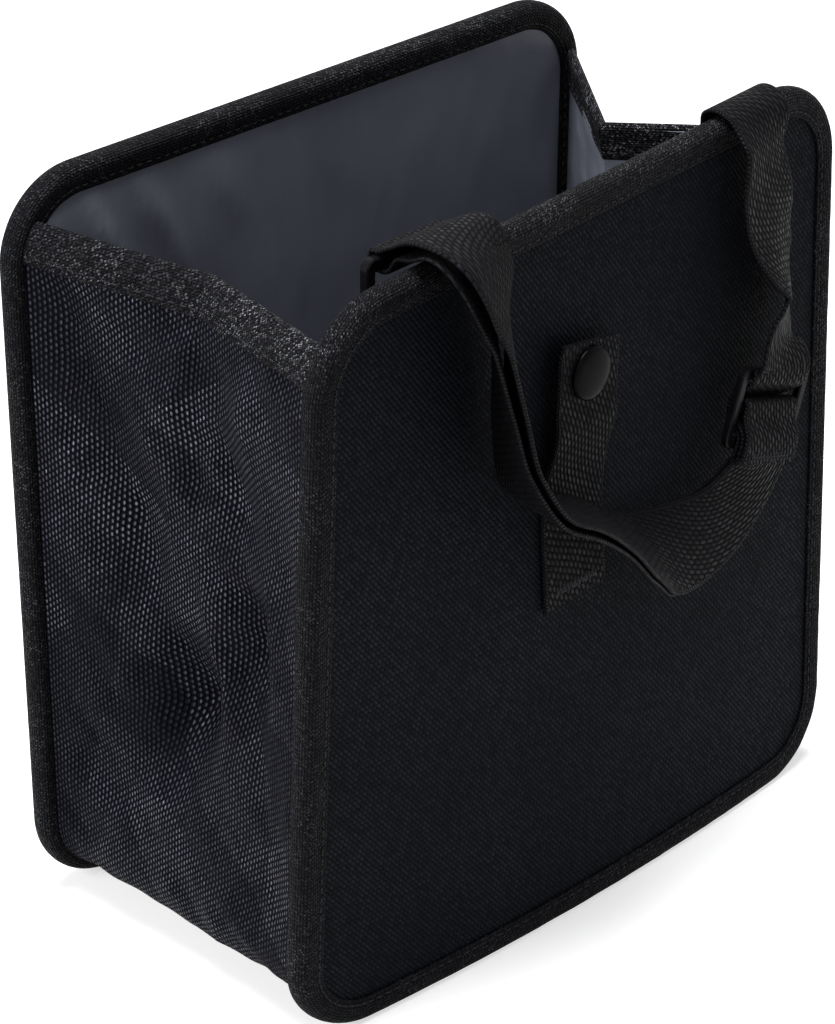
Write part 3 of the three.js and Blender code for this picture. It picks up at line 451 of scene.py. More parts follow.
def outline(step):
    """The panel's outline, anticlockwise: x and z of a corner's centre or of a place level with it,
    the unit way out from there, and the length of the step."""
    right = PANEL_WIDTH / 2 - CORNER_RADIUS
    top = PANEL_HEIGHT - CORNER_RADIUS
    places = []
    corners = [(-right, CORNER_RADIUS), (right, CORNER_RADIUS), (right, top), (-right, top)]
    for i, (x, z) in enumerate(corners):
        start = math.pi + i * math.pi / 2
        arc = CORNER_RADIUS * math.pi / 2
        steps = round(arc / step)
        for j in range(steps):
            angle = start + j / steps * math.pi / 2
            places.append((x, z, math.cos(angle), math.sin(angle), arc / steps))
        next_x, next_z = corners[(i + 1) % 4]
        long = math.hypot(next_x - x, next_z - z)
        steps = round(long / step)
        end = start + math.pi / 2
        for j in range(steps):
            middle = (x + (next_x - x) * j / steps, z + (next_z - z) * j / steps)
            places.append((*middle, math.cos(end), math.sin(end), long / steps))
    return np.array(places)


def round_outline(side, inset, out, step):
    """A line round a panel, inset from its edge."""
    places = outline(step)
    reach = CORNER_RADIUS - inset
    x = places[:, 0] + places[:, 2] * reach
    z = places[:, 1] + places[:, 3] * reach
    return on_panel(side, x, np.full_like(x, out), z)


LIP = BODY_THICKNESS / 2 + 0.12
BINDING_CHANNEL = 1.4
CROWN_INSET = 2.6
STITCH_PITCH = 3.1
STITCH_INSET = 6.2


def tape_height(inset):
    """How far the binding's face stands from the panel's middle plane, inset from its edge."""
    crown = PANEL_THICKNESS / 2
    if inset < CROWN_INSET:
        return crown * math.sqrt(max(0, 1 - ((CROWN_INSET - inset) / CROWN_INSET) ** 2.2))
    fall = (inset - CROWN_INSET) / (BINDING_WIDTH - CROWN_INSET)
    return crown - (crown - LIP - 0.55) * fall ** 1.6


def binding_section():
    """[inset, out] round the tape's section: its front lip, the edge, the rear lip, the inside."""
    insets = [BINDING_WIDTH - 0.15, 7.3, 6.7, STITCH_INSET, 5.7, 5, 4.2, 3.4]
    insets += [CROWN_INSET, 1.9, 1.3, 0.8, 0.4, 0.12]
    face = [[inset, tape_height(inset)] for inset in insets]
    face[insets.index(STITCH_INSET)][1] -= 0.22  # the row of stitches pulls the tape in
    back = [[inset, -out] for inset, out in face[::-1]]
    inside = [
        [BINDING_WIDTH, -LIP - 0.25],
        [BINDING_WIDTH - 0.3, -LIP],
        [BINDING_CHANNEL, -LIP],
        [BINDING_CHANNEL, LIP],
        [BINDING_WIDTH - 0.3, LIP],
        [BINDING_WIDTH, LIP + 0.25],
    ]
    return np.array(face + [[0, 0]] + back + inside)


def add_binding(side):
    places = outline(1.3)
    section = binding_section()
    around = np.linalg.norm(np.diff(section, axis=0, append=section[:1]), axis=1)
    across = np.concatenate([[0], np.cumsum(around)])
    run = np.concatenate([[0], np.cumsum(places[:, 4])])
    stitch = 0.5 + 0.5 * np.cos(run[:-1] / STITCH_PITCH * 2 * math.pi)
    inset = np.broadcast_to(section[:, 0], (len(places), len(section)))
    out = np.array(np.broadcast_to(section[:, 1], inset.shape))
    pulled = np.exp(-((inset - STITCH_INSET) / 0.9) ** 2) * (np.abs(out) > LIP + 0.3)
    out -= np.sign(out) * 0.16 * pulled * stitch[:, None]
    x = places[:, None, 0] + places[:, None, 2] * (CORNER_RADIUS - inset)
    z = places[:, None, 1] + places[:, None, 3] * (CORNER_RADIUS - inset)
    uneven = cloudy(np.stack([x, out * 2, z], -1), 9, 1 + (side == "rear"))
    held = np.clip((np.abs(out) - LIP) / 0.8, 0, 1) * (inset > 0.7)
    out = out - np.sign(out) * 0.22 * np.abs(uneven) * held
    rings = on_panel(side, x, out, z)
    uv = grid(run, across)
    piece = shell(side + "_binding_tape", rings, uv, BINDING, looped=True, sharp=60)
    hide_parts(side + "_binding")
    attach(piece, side + "_panel")


def add_sheet(side, kind, face_out, thickness, material, uneven):
    """A cover or a lining. Its face lies at face_out from the panel's middle plane, which is negative
    towards the bag's inside."""
    radius = CORNER_RADIUS - 1.8  # its edge lies inside the binding
    corner = [radius * math.sin(a) for a in np.linspace(-math.pi / 2, 0, 13)]
    low = [CORNER_RADIUS + c for c in corner]
    middle = list(np.linspace(CORNER_RADIUS, PANEL_HEIGHT - CORNER_RADIUS, 60)[1:-1])
    z = np.array(low + middle + [PANEL_HEIGHT - c for c in low[::-1]])
    past = np.clip(np.maximum(CORNER_RADIUS - z, z - (PANEL_HEIGHT - CORNER_RADIUS)), 0, radius)
    reach = PANEL_WIDTH / 2 - CORNER_RADIUS + np.sqrt(np.maximum(radius ** 2 - past ** 2, 0))
    shares = np.linspace(-1, 1, 73)
    x = reach[:, None] * shares[None, :]
    z = np.broadcast_to(z[:, None], x.shape)
    way = 1 if face_out > 0 else -1
    inward = np.minimum(PANEL_WIDTH / 2 - np.abs(x), np.minimum(z, PANEL_HEIGHT - z))
    free = np.clip((inward - BINDING_WIDTH) / 14, 0, 1)
    face = face_out + way * uneven(x, z) * free
    front = on_panel(side, x, face, z)
    back = on_panel(side, x, np.full_like(x, face_out - way * thickness), z)
    rings, uv = two_faced(front, back, np.stack([x, z], -1))
    piece = shell(side + "_" + kind + "_sheet", rings, uv, material)
    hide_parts(side + "_" + kind)
    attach(piece, side + "_panel")


def cover_waves(x, z):
    return 0.25 * cloudy(np.stack([x, z, 0 * x], -1), 45, 3) - 0.05


# Creases of the loose film at the upper left: from and to as x, z, how far they stand off, how wide
FILM_CREASES = [
    ((-80, 210), (-66, 168), 5.0, 3.5),
    ((-92, 206), (-88, 176), 3.5, 3.0),
    ((-62, 210), (-50, 182), 3.5, 4.0),
    ((-36, 210), (-30, 190), 2.0, 4.0),
]


def lining_waves(x, z):
    """The film is loose: shallow waves, and creases that hang from the binding."""
    found = 0.5 * cloudy(np.stack([x, z * 0.6, 0 * x], -1), 55, 5) - 0.1
    for (from_x, from_z), (to_x, to_z), high, wide in FILM_CREASES:
        along_x, along_z = to_x - from_x, to_z - from_z
        share = ((x - from_x) * along_x + (z - from_z) * along_z) / (along_x ** 2 + along_z ** 2)
        held = np.clip(share, 0, 1)
        away = np.hypot(x - from_x - held * along_x, z - from_z - held * along_z)
        found = found + high * np.exp(-away / wide) * (1 - 0.6 * held)
    return found


add_binding("front")
add_binding("rear")
for panel in ("front", "rear"):
    add_sheet(panel, "cover", BODY_THICKNESS / 2, 0.8, COVER, cover_waves)
    add_sheet(panel, "lining", -BODY_THICKNESS / 2, 0.6, LINING, lining_waves)


# Gusset
SEAM_RADIUS = CORNER_RADIUS - SEAM_INSET


def corner_run(top):
    return SEAM_RADIUS * math.asin((top - (PANEL_HEIGHT - CORNER_RADIUS)) / SEAM_RADIUS)


CORNER_LENGTH = corner_run(LEFT_TOP)
SIDE_LENGTH = PANEL_HEIGHT - 2 * CORNER_RADIUS
BEND_LENGTH = SEAM_RADIUS * math.pi / 2
BOTTOM_LENGTH = PANEL_WIDTH - 2 * CORNER_RADIUS
MIDDLE = CORNER_LENGTH + SIDE_LENGTH + BEND_LENGTH + BOTTOM_LENGTH / 2
STRIP_END = 2 * MIDDLE - CORNER_LENGTH + corner_run(RIGHT_TOP)


def seam(run):
    """The strip's place at a distance along it, and the way into the bag there."""
    if run > MIDDLE:
        x, z, in_x, in_z = seam(2 * MIDDLE - run)
        return -x, z, -in_x, in_z
    left = -(PANEL_WIDTH / 2 - CORNER_RADIUS)
    down = run - CORNER_LENGTH
    if down < 0:
        angle = -down / SEAM_RADIUS
        centre = PANEL_HEIGHT - CORNER_RADIUS
    elif down < SIDE_LENGTH:
        return left - SEAM_RADIUS, PANEL_HEIGHT - CORNER_RADIUS - down, 1, 0
    elif down < SIDE_LENGTH + BEND_LENGTH:
        angle = -(down - SIDE_LENGTH) / SEAM_RADIUS
        centre = CORNER_RADIUS
    else:
        return left + down - SIDE_LENGTH - BEND_LENGTH, SEAM_INSET, 0, 1
    return (
        left - SEAM_RADIUS * math.cos(angle),
        centre + SEAM_RADIUS * math.sin(angle),
        math.cos(angle),
        -math.sin(angle),
    )


# Pressed creases, as shares of the way from the front panel to the rear one and of the panels' height
LEFT_CREASES = [
    ((0.94, 0.91), (0.72, 0.6), 4, 0.13),
    ((0.72, 0.6), (0.53, 0.355), 5.5, 0.16),
    ((0.53, 0.355), (0.95, 0.07), 5, 0.14),
    ((0.53, 0.355), (0.265, 0.48), 4, 0.12),
    ((0.53, 0.355), (0.17, 0.12), 3, 0.12),
    ((0.52, 0.825), (0.775, 0.595), -3, 0.1),
    ((0.09, 0.915), (0.415, 0.765), -3, 0.12),
    ((0.415, 0.765), (0.28, 0.5), 5, 0.14),
    ((0.28, 0.5), (0.09, 0.12), 4.5, 0.13),
    ((0.355, 0.705), (0.09, 0.625), 3, 0.1),
]
RIGHT_CREASES = [
    ((0.5, 0.4), (0.95, 0.08), 5, 0.16),
    ((0.5, 0.4), (0.05, 0.08), 5, 0.16),
    ((0.5, 0.7), (0.85, 0.45), -3, 0.12),
    ((0.5, 0.7), (0.15, 0.45), -3, 0.12),
]


def crease_depth(crease, across, height):
    (from_a, from_h), (to_a, to_h), depth, reach = crease
    along_a, along_h = to_a - from_a, to_h - from_h
    share = ((across - from_a) * along_a + (height - from_h) * along_h) / (along_a ** 2 + along_h ** 2)
    held = min(1, max(0, share))
    away = math.hypot(across - from_a - held * along_a, height - from_h - held * along_h)
    return depth * max(0, 1 - away / reach)


def fold_depth(run, across):
    on_left = run < MIDDLE
    height = seam(run)[1]
    top = LEFT_TOP if on_left else RIGHT_TOP
    rise = min(1, max(0, (height - FOLD_FOOT) / (top - FOLD_FOOT)))
    main = (LEFT_FOLD_DEPTH if on_left else RIGHT_FOLD_DEPTH) * (1 - abs(2 * across - 1))
    creases = LEFT_CREASES if on_left else RIGHT_CREASES
    pressed = sum(crease_depth(c, across, height / PANEL_HEIGHT) for c in creases)
    at_seam = min(1, 12 * across * (1 - across))
    at_top = min(1, max(0, (top - END_BINDING_HEIGHT - height) / 12))
    return main * rise ** 0.7 + pressed * at_seam * at_top * min(1, 3 * rise)


def gusset_point(run, across, depth, loose=0.0):
    """A point of the strip, depth deeper into the bag than its outer face. It lies up to about
    loose unevenly there."""
    x, z, in_x, in_z = seam(run)
    fold = fold_depth(run, across)
    if loose:
        wide = noise.noise(Vector((run / 24, across * 3.4, 2.7)))
        small = noise.noise(Vector((run / 9, across * 8, 9.1)))
        depth = depth + loose * abs(wide + 0.5 * small) * min(1, 10 * across * (1 - across))
    dip = LEFT_DIP * fold * z / LEFT_TOP if run < MIDDLE else 0
    seam_x, seam_z = x + in_x * depth, z + in_z * depth
    from_y = FRONT_INNER + GUSSET_GAP - stand_out(seam_x, seam_z)
    to_y = REAR_Y + x * math.sin(REAR_TURN) - (PANEL_THICKNESS / 2 + GUSSET_GAP) / math.cos(REAR_TURN)
    return (seam_x - math.copysign(fold, x), from_y + (to_y - from_y) * across, seam_z - dip)


LOOSE = 2.0


def add_strip(name, node, outer, thickness, material):
    runs = np.linspace(0, STRIP_END, 250)
    shares = np.linspace(0, 1, 57)
    wide = PANEL_SPACING - PANEL_THICKNESS
    front, back = (
        np.array([[gusset_point(r, s, depth, LOOSE) for s in shares] for r in runs])
        for depth in (outer, outer + thickness)
    )
    rings, uv = two_faced(front, back, grid(runs, shares * wide))
    piece = shell(name, rings, uv, material, sharp=55)
    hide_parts(node)
    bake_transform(piece)
    return piece


LINING_DEPTH = GUSSET_CLOTH + GUSSET_GAP
for cloth in (
    add_strip("gusset_cloth", "gusset_fabric", 0, GUSSET_CLOTH, GUSSET),
    add_strip("gusset_film", "gusset_lining", LINING_DEPTH, GUSSET_LINING, LINING),
):
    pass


def add_end_binding(side):
    """The tape over an upper end of the gusset: a rounded channel."""
    on_left = side == "left"
    outside = -GUSSET_GAP
    inside = LINING_DEPTH + GUSSET_LINING + GUSSET_GAP
    middle = (outside + inside) / 2
    half = (inside - outside) / 2 + END_BINDING_TAPE
    top = -GUSSET_GAP - END_BINDING_TAPE
    face = [END_BINDING_HEIGHT * s for s in (1, 0.97, 0.9, 0.8, 0.68, 0.55, 0.4, 0.28, 0.17)]
    plump = [0.62, 0.84, 0.95, 0.9, 0.98, 1, 1, 1, 0.97]
    round_from = 1.5
    over = [
        (half * math.cos(a), round_from + (round_from - top) * -math.sin(a))
        for a in np.linspace(0.35, math.pi - 0.35, 7)
    ]
    section = [(-half * p, below) for below, p in zip(face, plump)]
    section += [(-d, below) for d, below in over]
    section += [(half * p, below) for below, p in zip(face[::-1], plump[::-1])]
    lips = half - END_BINDING_TAPE
    section += [(lips, END_BINDING_HEIGHT), (lips, top + END_BINDING_TAPE)]
    section += [(-lips, top + END_BINDING_TAPE), (-lips, END_BINDING_HEIGHT)]
    section = np.array(section)
    length = np.linalg.norm(np.diff(section, axis=0, append=section[:1]), axis=1)
    across = np.concatenate([[0], np.cumsum(length)])
    shares = np.linspace(0, 1, 81)
    wide = PANEL_SPACING - PANEL_THICKNESS
    rings = np.array([
        [gusset_point(below if on_left else STRIP_END - below, s, middle + d) for d, below in section]
        for s in shares
    ])
    uv = grid(shares * wide, across)
    piece = shell(side + "_end_tape", rings, uv, END_BINDING, sharp=60)
    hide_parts(side + "_gusset_binding")
    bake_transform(piece)


add_end_binding("left")
add_end_binding("right")


# Webbing
def smooth_curve(points):
    """A centripetal Catmull-Rom curve; its parameter counts the points."""
    points = np.asarray(points, float)
    padded = np.vstack([2 * points[0] - points[1], points, 2 * points[-1] - points[-2]])

    def at(place):
        i = min(int(place), len(points) - 2)
        share = place - i
        p0, p1, p2, p3 = padded[i:i + 4]
        steps = [math.sqrt(np.linalg.norm(b - a)) for a, b in ((p0, p1), (p1, p2), (p2, p3))]
        d1 = steps[1] if steps[1] > 1e-4 else 1.0
        d0 = steps[0] if steps[0] > 1e-4 else d1
        d2 = steps[2] if steps[2] > 1e-4 else d1
        t1 = ((p1 - p0) / d0 - (p2 - p0) / (d0 + d1) + (p2 - p1) / d1) * d1
        t2 = ((p2 - p1) / d1 - (p3 - p1) / (d1 + d2) + (p3 - p2) / d2) * d1
        cube = 2 * p1 - 2 * p2 + t1 + t2
        square = -3 * p1 + 3 * p2 - 2 * t1 - t2
        return p1 + t1 * share + square * share ** 2 + cube * share ** 3

    return at


def web_section(width):
    """[across, up] round a strip of webbing with rounded selvedges."""
    half = WEB_THICKNESS / 2
    edge = width / 2
    top = [(s * (edge - 0.5), half) for s in np.linspace(-1, 1, 15)]
    top += [(edge - 0.1, half * 0.6), (edge, 0), (edge - 0.1, -half * 0.6)]
    return np.array(top + [(-a, -b) for a, b in top])


def ribbon(name, keys, width, first=0, last=None, step=1.1):
    """Webbing along keys of (middle, way across), from one key to another."""
    last = len(keys) - 1 if last is None else last
    line = smooth_curve([k[0] for k in keys])
    edges = smooth_curve([k[1] for k in keys])
    section = web_section(width)
    places = []
    for i in range(first, last):
        long = np.linalg.norm(np.subtract(keys[i + 1][0], keys[i][0]))
        places += [i + j / max(1, round(long / step)) for j in range(max(1, round(long / step)))]
    places.append(last)
    rings = []
    for place in places:
        before, after = max(0, place - 1e-3), min(len(keys) - 1, place + 1e-3)
        along = line(after) - line(before)
        along /= np.linalg.norm(along)
        across = edges(place)
        across = across - along * across.dot(along)
        across /= np.linalg.norm(across)
        face = np.cross(along, across)
        rings.append([line(place) + across * a + face * b for a, b in section])
    rings = np.array(rings)
    middles = rings.mean(axis=1)
    run = np.concatenate([[0], np.cumsum(np.linalg.norm(np.diff(middles, axis=0), axis=1))])
    across = np.concatenate([section[:, 0], section[:1, 0]])
    return shell(name, rings, grid(run, across), WEBBING, sharp=70)


WEB_STEP = WEB_THICKNESS + WEB_GAP
WEB_CLEAR = WEB_THICKNESS / 2 + WEB_GAP


def front_key(x, out, z, across=None):
    if across is None:
        across = (2, float(stand_out(x - 1, z) - stand_out(x + 1, z)), 0)
    return np.array([x, FRONT_FACE - stand_out(x, z) - out, z]), np.array(across, float)


# The slider's frame: down along the strap's run, out towards the viewer
SLIDER_X = 61.9
SLIDER_Z = 137.1
SLIDER_STAND_OFF = 9
SLIDER_LEAN = math.radians(19)
SLIDER_THICKNESS = 2.4
MIDDLE_BAR = 2.4
END_BAR = 3.2
slider_y = FRONT_FACE - stand_out(SLIDER_X, SLIDER_Z) - SLIDER_STAND_OFF
slider_across = np.array([-math.cos(SLIDER_LEAN), 0, math.sin(SLIDER_LEAN)])


def at_slider(down, out):
    place = np.array([
        SLIDER_X - down * math.sin(SLIDER_LEAN),
        slider_y - out,
        SLIDER_Z - down * math.cos(SLIDER_LEAN),
    ])
    return place, slider_across


slant = math.sqrt(2) * WEB_CLEAR
loop_crossing = (MIDDLE_BAR + SLIDER_THICKNESS) / 2 + slant
run_crossing = loop_crossing + math.sqrt(2) * WEB_STEP
window_end = run_crossing + SLIDER_THICKNESS / 2 + slant
on_bar = SLIDER_THICKNESS / 2 + WEB_CLEAR
end_bar = window_end + END_BAR / 2
wrap_corner = MIDDLE_BAR / 2 + WEB_CLEAR / math.sqrt(2)

ANCHOR_X = 66
ANCHOR_LENGTH = 26
sewn_inside = -PANEL_THICKNESS - WEB_CLEAR
plain_end = [front_key(*row) for row in (
    (ANCHOR_X, sewn_inside, PANEL_HEIGHT - BINDING_WIDTH / 2 - ANCHOR_LENGTH),
    (ANCHOR_X, sewn_inside, PANEL_HEIGHT - BINDING_WIDTH / 2),
    (ANCHOR_X, sewn_inside + 0.4, PANEL_HEIGHT + 0.6),
    (ANCHOR_X, -PANEL_THICKNESS / 2, PANEL_HEIGHT + 2.4),
    (ANCHOR_X, 1.4, PANEL_HEIGHT + 0.6),
    (64.7, 5.4, 210.5, (0.94, 0.27, -0.2)),
    (64.5, 6.6, 198.6, (0.98, 0.13, -0.17)),
    (66.9, 6.8, 187.8, (0.96, 0.18, -0.23)),
    (70.9, 7.8, 176.5, (0.88, 0.39, -0.25)),
    (72.2, 9, 169, (0.76, 0.6, -0.25)),
    (69.6, 9.9, 162.4, (0.82, 0.5, -0.28)),
    (66.6, 10.8, 156.2, (0.89, 0.3, -0.31)),
)]
plain_end = [(at, -across) for at, across in plain_end]
run_through = [at_slider(*at) for at in (
    (-end_bar - 2.4, on_bar + 0.2),
    (-end_bar, on_bar),
    (-run_crossing - on_bar, on_bar - 0.15),
    (-run_crossing + 1, -1),
    (-run_crossing + 2.7, -on_bar - 0.75),
    (-1.5, -on_bar - WEB_STEP + 0.05),
    (1.2, -on_bar - WEB_STEP + 0.05),
    (run_crossing - on_bar - WEB_STEP + 0.5, -on_bar - WEB_STEP + 0.55),
    (run_crossing - 1, -1),
    (run_crossing + on_bar, on_bar - 0.15),
    (end_bar, on_bar),
    (end_bar + 8, on_bar - 1.2),
)]
sewn_end = [at_slider(*at) for at in (
    (end_bar + 8, on_bar - 1.2 + WEB_STEP),
    (end_bar, on_bar + WEB_STEP),
    (loop_crossing + on_bar + WEB_STEP - 0.35, on_bar + WEB_STEP - 0.5),
    (loop_crossing, 0),
    (loop_crossing - on_bar + 0.1, -on_bar + 0.1),
    (0, -on_bar),
    (-wrap_corner, -wrap_corner),
    (-MIDDLE_BAR / 2 - WEB_CLEAR - 0.45, 0),
    (-wrap_corner, wrap_corner),
    (0, on_bar),
    (2.2, on_bar + 0.2),
    (4.4, on_bar + 1.15),
    (6.5, on_bar + 2.5),
    (end_bar, on_bar + 2 * WEB_STEP),
    (end_bar + 4.5, on_bar + 2 * WEB_STEP - 0.1),
)]

# The doubled stretch: x, out from the front panel, z, way across, how far behind the other layer lies
DOUBLED = [
    (-57, -5, 226.2, (1, 0, 0), 4.4),
    (-58.4, 2.5, 227.1, (0.99, 0.11, -0.04), 4.1),
    (-58.4, 9.5, 224.1, (0.93, 0.33, -0.13), 4),
    (-54.9, 12.5, 215.8, (0.89, 0.42, -0.18), 4),
    (-51.9, 12.6, 204.2, (0.72, 0.69, 0.06), 3.6),
    (-48.5, 12.6, 185.7, (0.58, 0.8, 0.12), 3.2),
    (-46.1, 12.8, 168.1, (0.43, 0.9, 0.09), 2.7),
    (-40.1, 13.6, 151.9, (0.16, 0.99, 0.04), 2.5),
    (-28.4, 13.9, 143.3, (0.11, 0.99, 0.03), 2.4),
    (-13.9, 13.5, 133.6, (0.06, 0.96, 0.28), 1.8),
    (-0.9, 12.5, 122, (-0.08, 0.82, 0.57), 1.6),
    (12.1, 10.4, 113.2, (-0.28, 0.56, 0.78), WEB_STEP),
    (26.4, 9.6, 109.2, (-0.48, 0.3, 0.82), WEB_STEP),
    (40.9, 9.6, 110.5, (-0.67, 0.14, 0.72), WEB_STEP),
]
doubled = [front_key(*row[:4]) for row in DOUBLED]


def behind(keys, gaps, end):
    found = []
    for i, (at, across) in enumerate(keys):
        before = keys[max(0, i - 1)][0]
        after = keys[i + 1][0] if i < len(keys) - 1 else end
        face = np.cross(after - before, across)
        found.append((at - face / np.linalg.norm(face) * gaps[i], across))
    return found


RING_X = -56.5
RING_BAR = 3
RING_HEIGHT = 17
RING_TOP_BAR_Z = 218
RING_STAND_OFF = 8.5
ring_y = FRONT_INNER - stand_out(RING_X, RING_TOP_BAR_Z) + RING_STAND_OFF
on_ring = RING_BAR / 2 + WEB_CLEAR
ring_corner = RING_BAR / 2 + WEB_CLEAR / math.sqrt(2)
level = np.array([1.0, 0, 0])


def at_bar(bar_z, y, z):
    return np.array([RING_X, ring_y + y, bar_z + z]), level


round_ring = [at_bar(RING_TOP_BAR_Z, *at) for at in (
    (-6.4, 2.2),
    (-3.2, -1.9),
    (0, -on_ring),
    (ring_corner, -ring_corner),
    (on_ring + 0.3, 0),
    (ring_corner, ring_corner),
    (0, on_ring),
    (-4, on_ring + 2.2),
)]

running = behind(doubled, [row[4] for row in DOUBLED], sewn_end[0][0])[::-1]
strap_keys = plain_end + run_through + running + round_ring + doubled + sewn_end
slider_top = len(plain_end)
HANGING = 6  # the doubled stretch's key at which the hump over the panel's edge ends
hump_start = slider_top + len(run_through) + len(doubled) - 1 - HANGING
hump_end = hump_start + HANGING + 1 + len(round_ring) + HANGING

upper = ribbon("strap_upper", strap_keys, WEB_WIDTH, 0, slider_top)
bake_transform(upper)
lower = ribbon("strap_running", strap_keys, WEB_WIDTH, slider_top, hump_start)
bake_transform(lower)
hump = ribbon("strap_hump", strap_keys, WEB_WIDTH, hump_start, hump_end)
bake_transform(hump)
sewn = ribbon("strap_sewn", strap_keys, WEB_WIDTH, hump_end)
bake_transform(sewn)
for piece in (upper, lower, hump, sewn):
    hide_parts("strap")

# The webbing that keeps the ring, sewn flat on the front lining
LINING_FACE = FRONT_Y + BODY_THICKNESS / 2
lower_bar_z = RING_TOP_BAR_Z - RING_HEIGHT + RING_BAR
keeper_top = lower_bar_z - 10
keeper_out = FRONT_FACE - LINING_FACE - WEB_CLEAR


def on_lining(behind_it, up):
    return front_key(RING_X, keeper_out - behind_it, keeper_top + up)


rising = [on_lining(*at) for at in ((0, -26), (0, -6), (0, 0), (2.4, 5.5))]
round_lower_bar = [at_bar(lower_bar_z, *at) for at in (
    (-on_ring - 1.6, 0.2),
    (-ring_corner - 0.2, ring_corner),
    (0, on_ring),
    (ring_corner, ring_corner),
    (on_ring + 0.3, 0),
    (ring_corner, -ring_corner),
    (-1.6, -on_ring - 0.9),
)]
falling = [on_lining(*at) for at in (
    (4.4, 2.2),
    (WEB_STEP + 0.4, -3),
    (WEB_STEP, -7),
    (WEB_STEP, -26),
)]
keeper = ribbon("ring_keeper", rising + round_lower_bar + falling, WEB_WIDTH)
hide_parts("ring_loop")
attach(keeper, "front_panel")

# The tab and its press stud's cap
TAB_WIDTH = 24.5
TAB_TOP = 181
TAB_BOTTOM = 104
CAP_RADIUS = 7.5
COVER_OUT = -(PANEL_THICKNESS - BODY_THICKNESS) / 2
SEWN_OUT = 0.9
TAB_OUT = 4.6  # the tab's middle in front of the cover, over the socket
tab_keys = [front_key(STUD_X + x, COVER_OUT + out, z) for x, out, z in (
    (0, SEWN_OUT, TAB_BOTTOM),
    (-0.6, SEWN_OUT, TAB_BOTTOM + 12),
    (-1.6, SEWN_OUT, TAB_BOTTOM + 27),
    (-1.3, SEWN_OUT + 0.7, TAB_BOTTOM + 39),
    (-0.7, TAB_OUT + 0.3, STUD_Z - 15),
    (-0.4, TAB_OUT, STUD_Z - CAP_RADIUS - 1),
    (0, TAB_OUT, STUD_Z),
    (0.6, TAB_OUT, STUD_Z + CAP_RADIUS),
    (0.9, TAB_OUT + 0.2, TAB_TOP),
)]
tab = ribbon("tab_webbing", tab_keys, TAB_WIDTH)
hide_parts("snap_tab")
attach(tab, "front_panel")


def stud_frame():
    slope_x = stand_out(STUD_X + 0.5, STUD_Z) - stand_out(STUD_X - 0.5, STUD_Z)
    slope_z = stand_out(STUD_X, STUD_Z + 0.5) - stand_out(STUD_X, STUD_Z - 0.5)
    out = Vector((-slope_x, -1, -slope_z)).normalized()
    across = Vector((1, -slope_x, 0)).normalized()
    turn = Matrix((across, out.cross(across), out)).transposed().to_4x4()
    face = FRONT_FACE - COVER_OUT - stand_out(STUD_X, STUD_Z)
    return Matrix.Translation(Vector((STUD_X, face, STUD_Z))) @ turn


def add_cap():
    """The press stud's cap: a low dome with a rolled rim."""
    foot_height, rim_height, dome_radius = 4.9, 6.16, 7.2
    profile = [(1.4, foot_height), (1.4, 5.42), (6.9, 5.42), (7.35, 5.52)]
    profile += [(CAP_RADIUS, 5.8), (7.42, 6.05), (dome_radius, 6.2)]
    profile += [
        (dome_radius * math.cos(a), rim_height + math.sin(a))
        for a in np.linspace(0.12, math.pi / 2, 9)[:-1]
    ]
    turns = 72
    frame_matrix = stud_frame()
    rings = []
    for i in range(turns):
        angle = i / turns * 2 * math.pi
        rings.append([
            tuple(frame_matrix @ Vector((r * math.cos(angle), r * math.sin(angle), h)))
            for r, h in profile
        ])
    points = np.array(rings)
    count, high = points.shape[:2]
    top = tuple(frame_matrix @ Vector((0, 0, rim_height + 1)))
    foot = tuple(frame_matrix @ Vector((0, 0, foot_height)))
    faces = []
    for i in range(count):
        here, there = i * high, (i + 1) % count * high
        faces.append((here, there, count * high))
        faces.append((there + high - 1, here + high - 1, count * high + 1))
        faces += [(here + k, here + k + 1, there + k + 1, there + k) for k in range(high - 1)]
    mesh = bpy.data.meshes.new("stud_cap")
    places = np.concatenate([points.reshape(-1, 3), [foot, top]]) * MM
    mesh.from_pydata(places.tolist(), [], faces)
    cap = new_piece("stud_cap", mesh, SNAP, 35)
    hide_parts("snap_cap")
    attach(cap, "front_panel")


add_cap()


# Stitches
def stitch_row(name, points, normals, length, radius, body=None):
    """Short lengths of thread. Each pair of points gives a stitch's place and way."""
    around = 6
    sections = [(-0.5, 0.35), (-0.38, 0.9), (0, 1.1), (0.38, 0.9), (0.5, 0.35)]
    verts, faces, maps = [], [], []
    for (start, end), out in zip(points, normals):
        along = (end - start) / np.linalg.norm(end - start)
        side = np.cross(along, out)
        side /= np.linalg.norm(side)
        up = np.cross(side, along)
        middle = (start + end) / 2
        base = len(verts)
        for s, r in sections:
            sink = -0.5 * radius * (2 * abs(s)) ** 2
            for k in range(around):
                angle = k / around * 2 * math.pi
                ring = side * math.cos(angle) + up * math.sin(angle)
                verts.append(middle + along * s * length + up * sink + ring * radius * r)
        for i in range(len(sections) - 1):
            for k in range(around):
                a, b = base + i * around + k, base + i * around + (k + 1) % around
                faces.append((a, b, b + around, a + around))
                corners = ((i, k), (i, k + 1), (i + 1, k + 1), (i + 1, k))
                maps += [(r * length / 4, c * radius) for r, c in corners]
        faces.append(tuple(range(base, base + around))[::-1])
        faces.append(tuple(range(len(verts) - around, len(verts))))
        maps += [(0, 0)] * 2 * around
    mesh = bpy.data.meshes.new(name)
    mesh.from_pydata((np.array(verts) * MM).tolist(), [], faces)
    mesh.uv_layers.new(name="weave").data.foreach_set("uv", np.array(maps, np.float32).ravel())
    piece = new_piece(name, mesh, THREAD, 80)
    if body:
        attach(piece, body)
    return piece


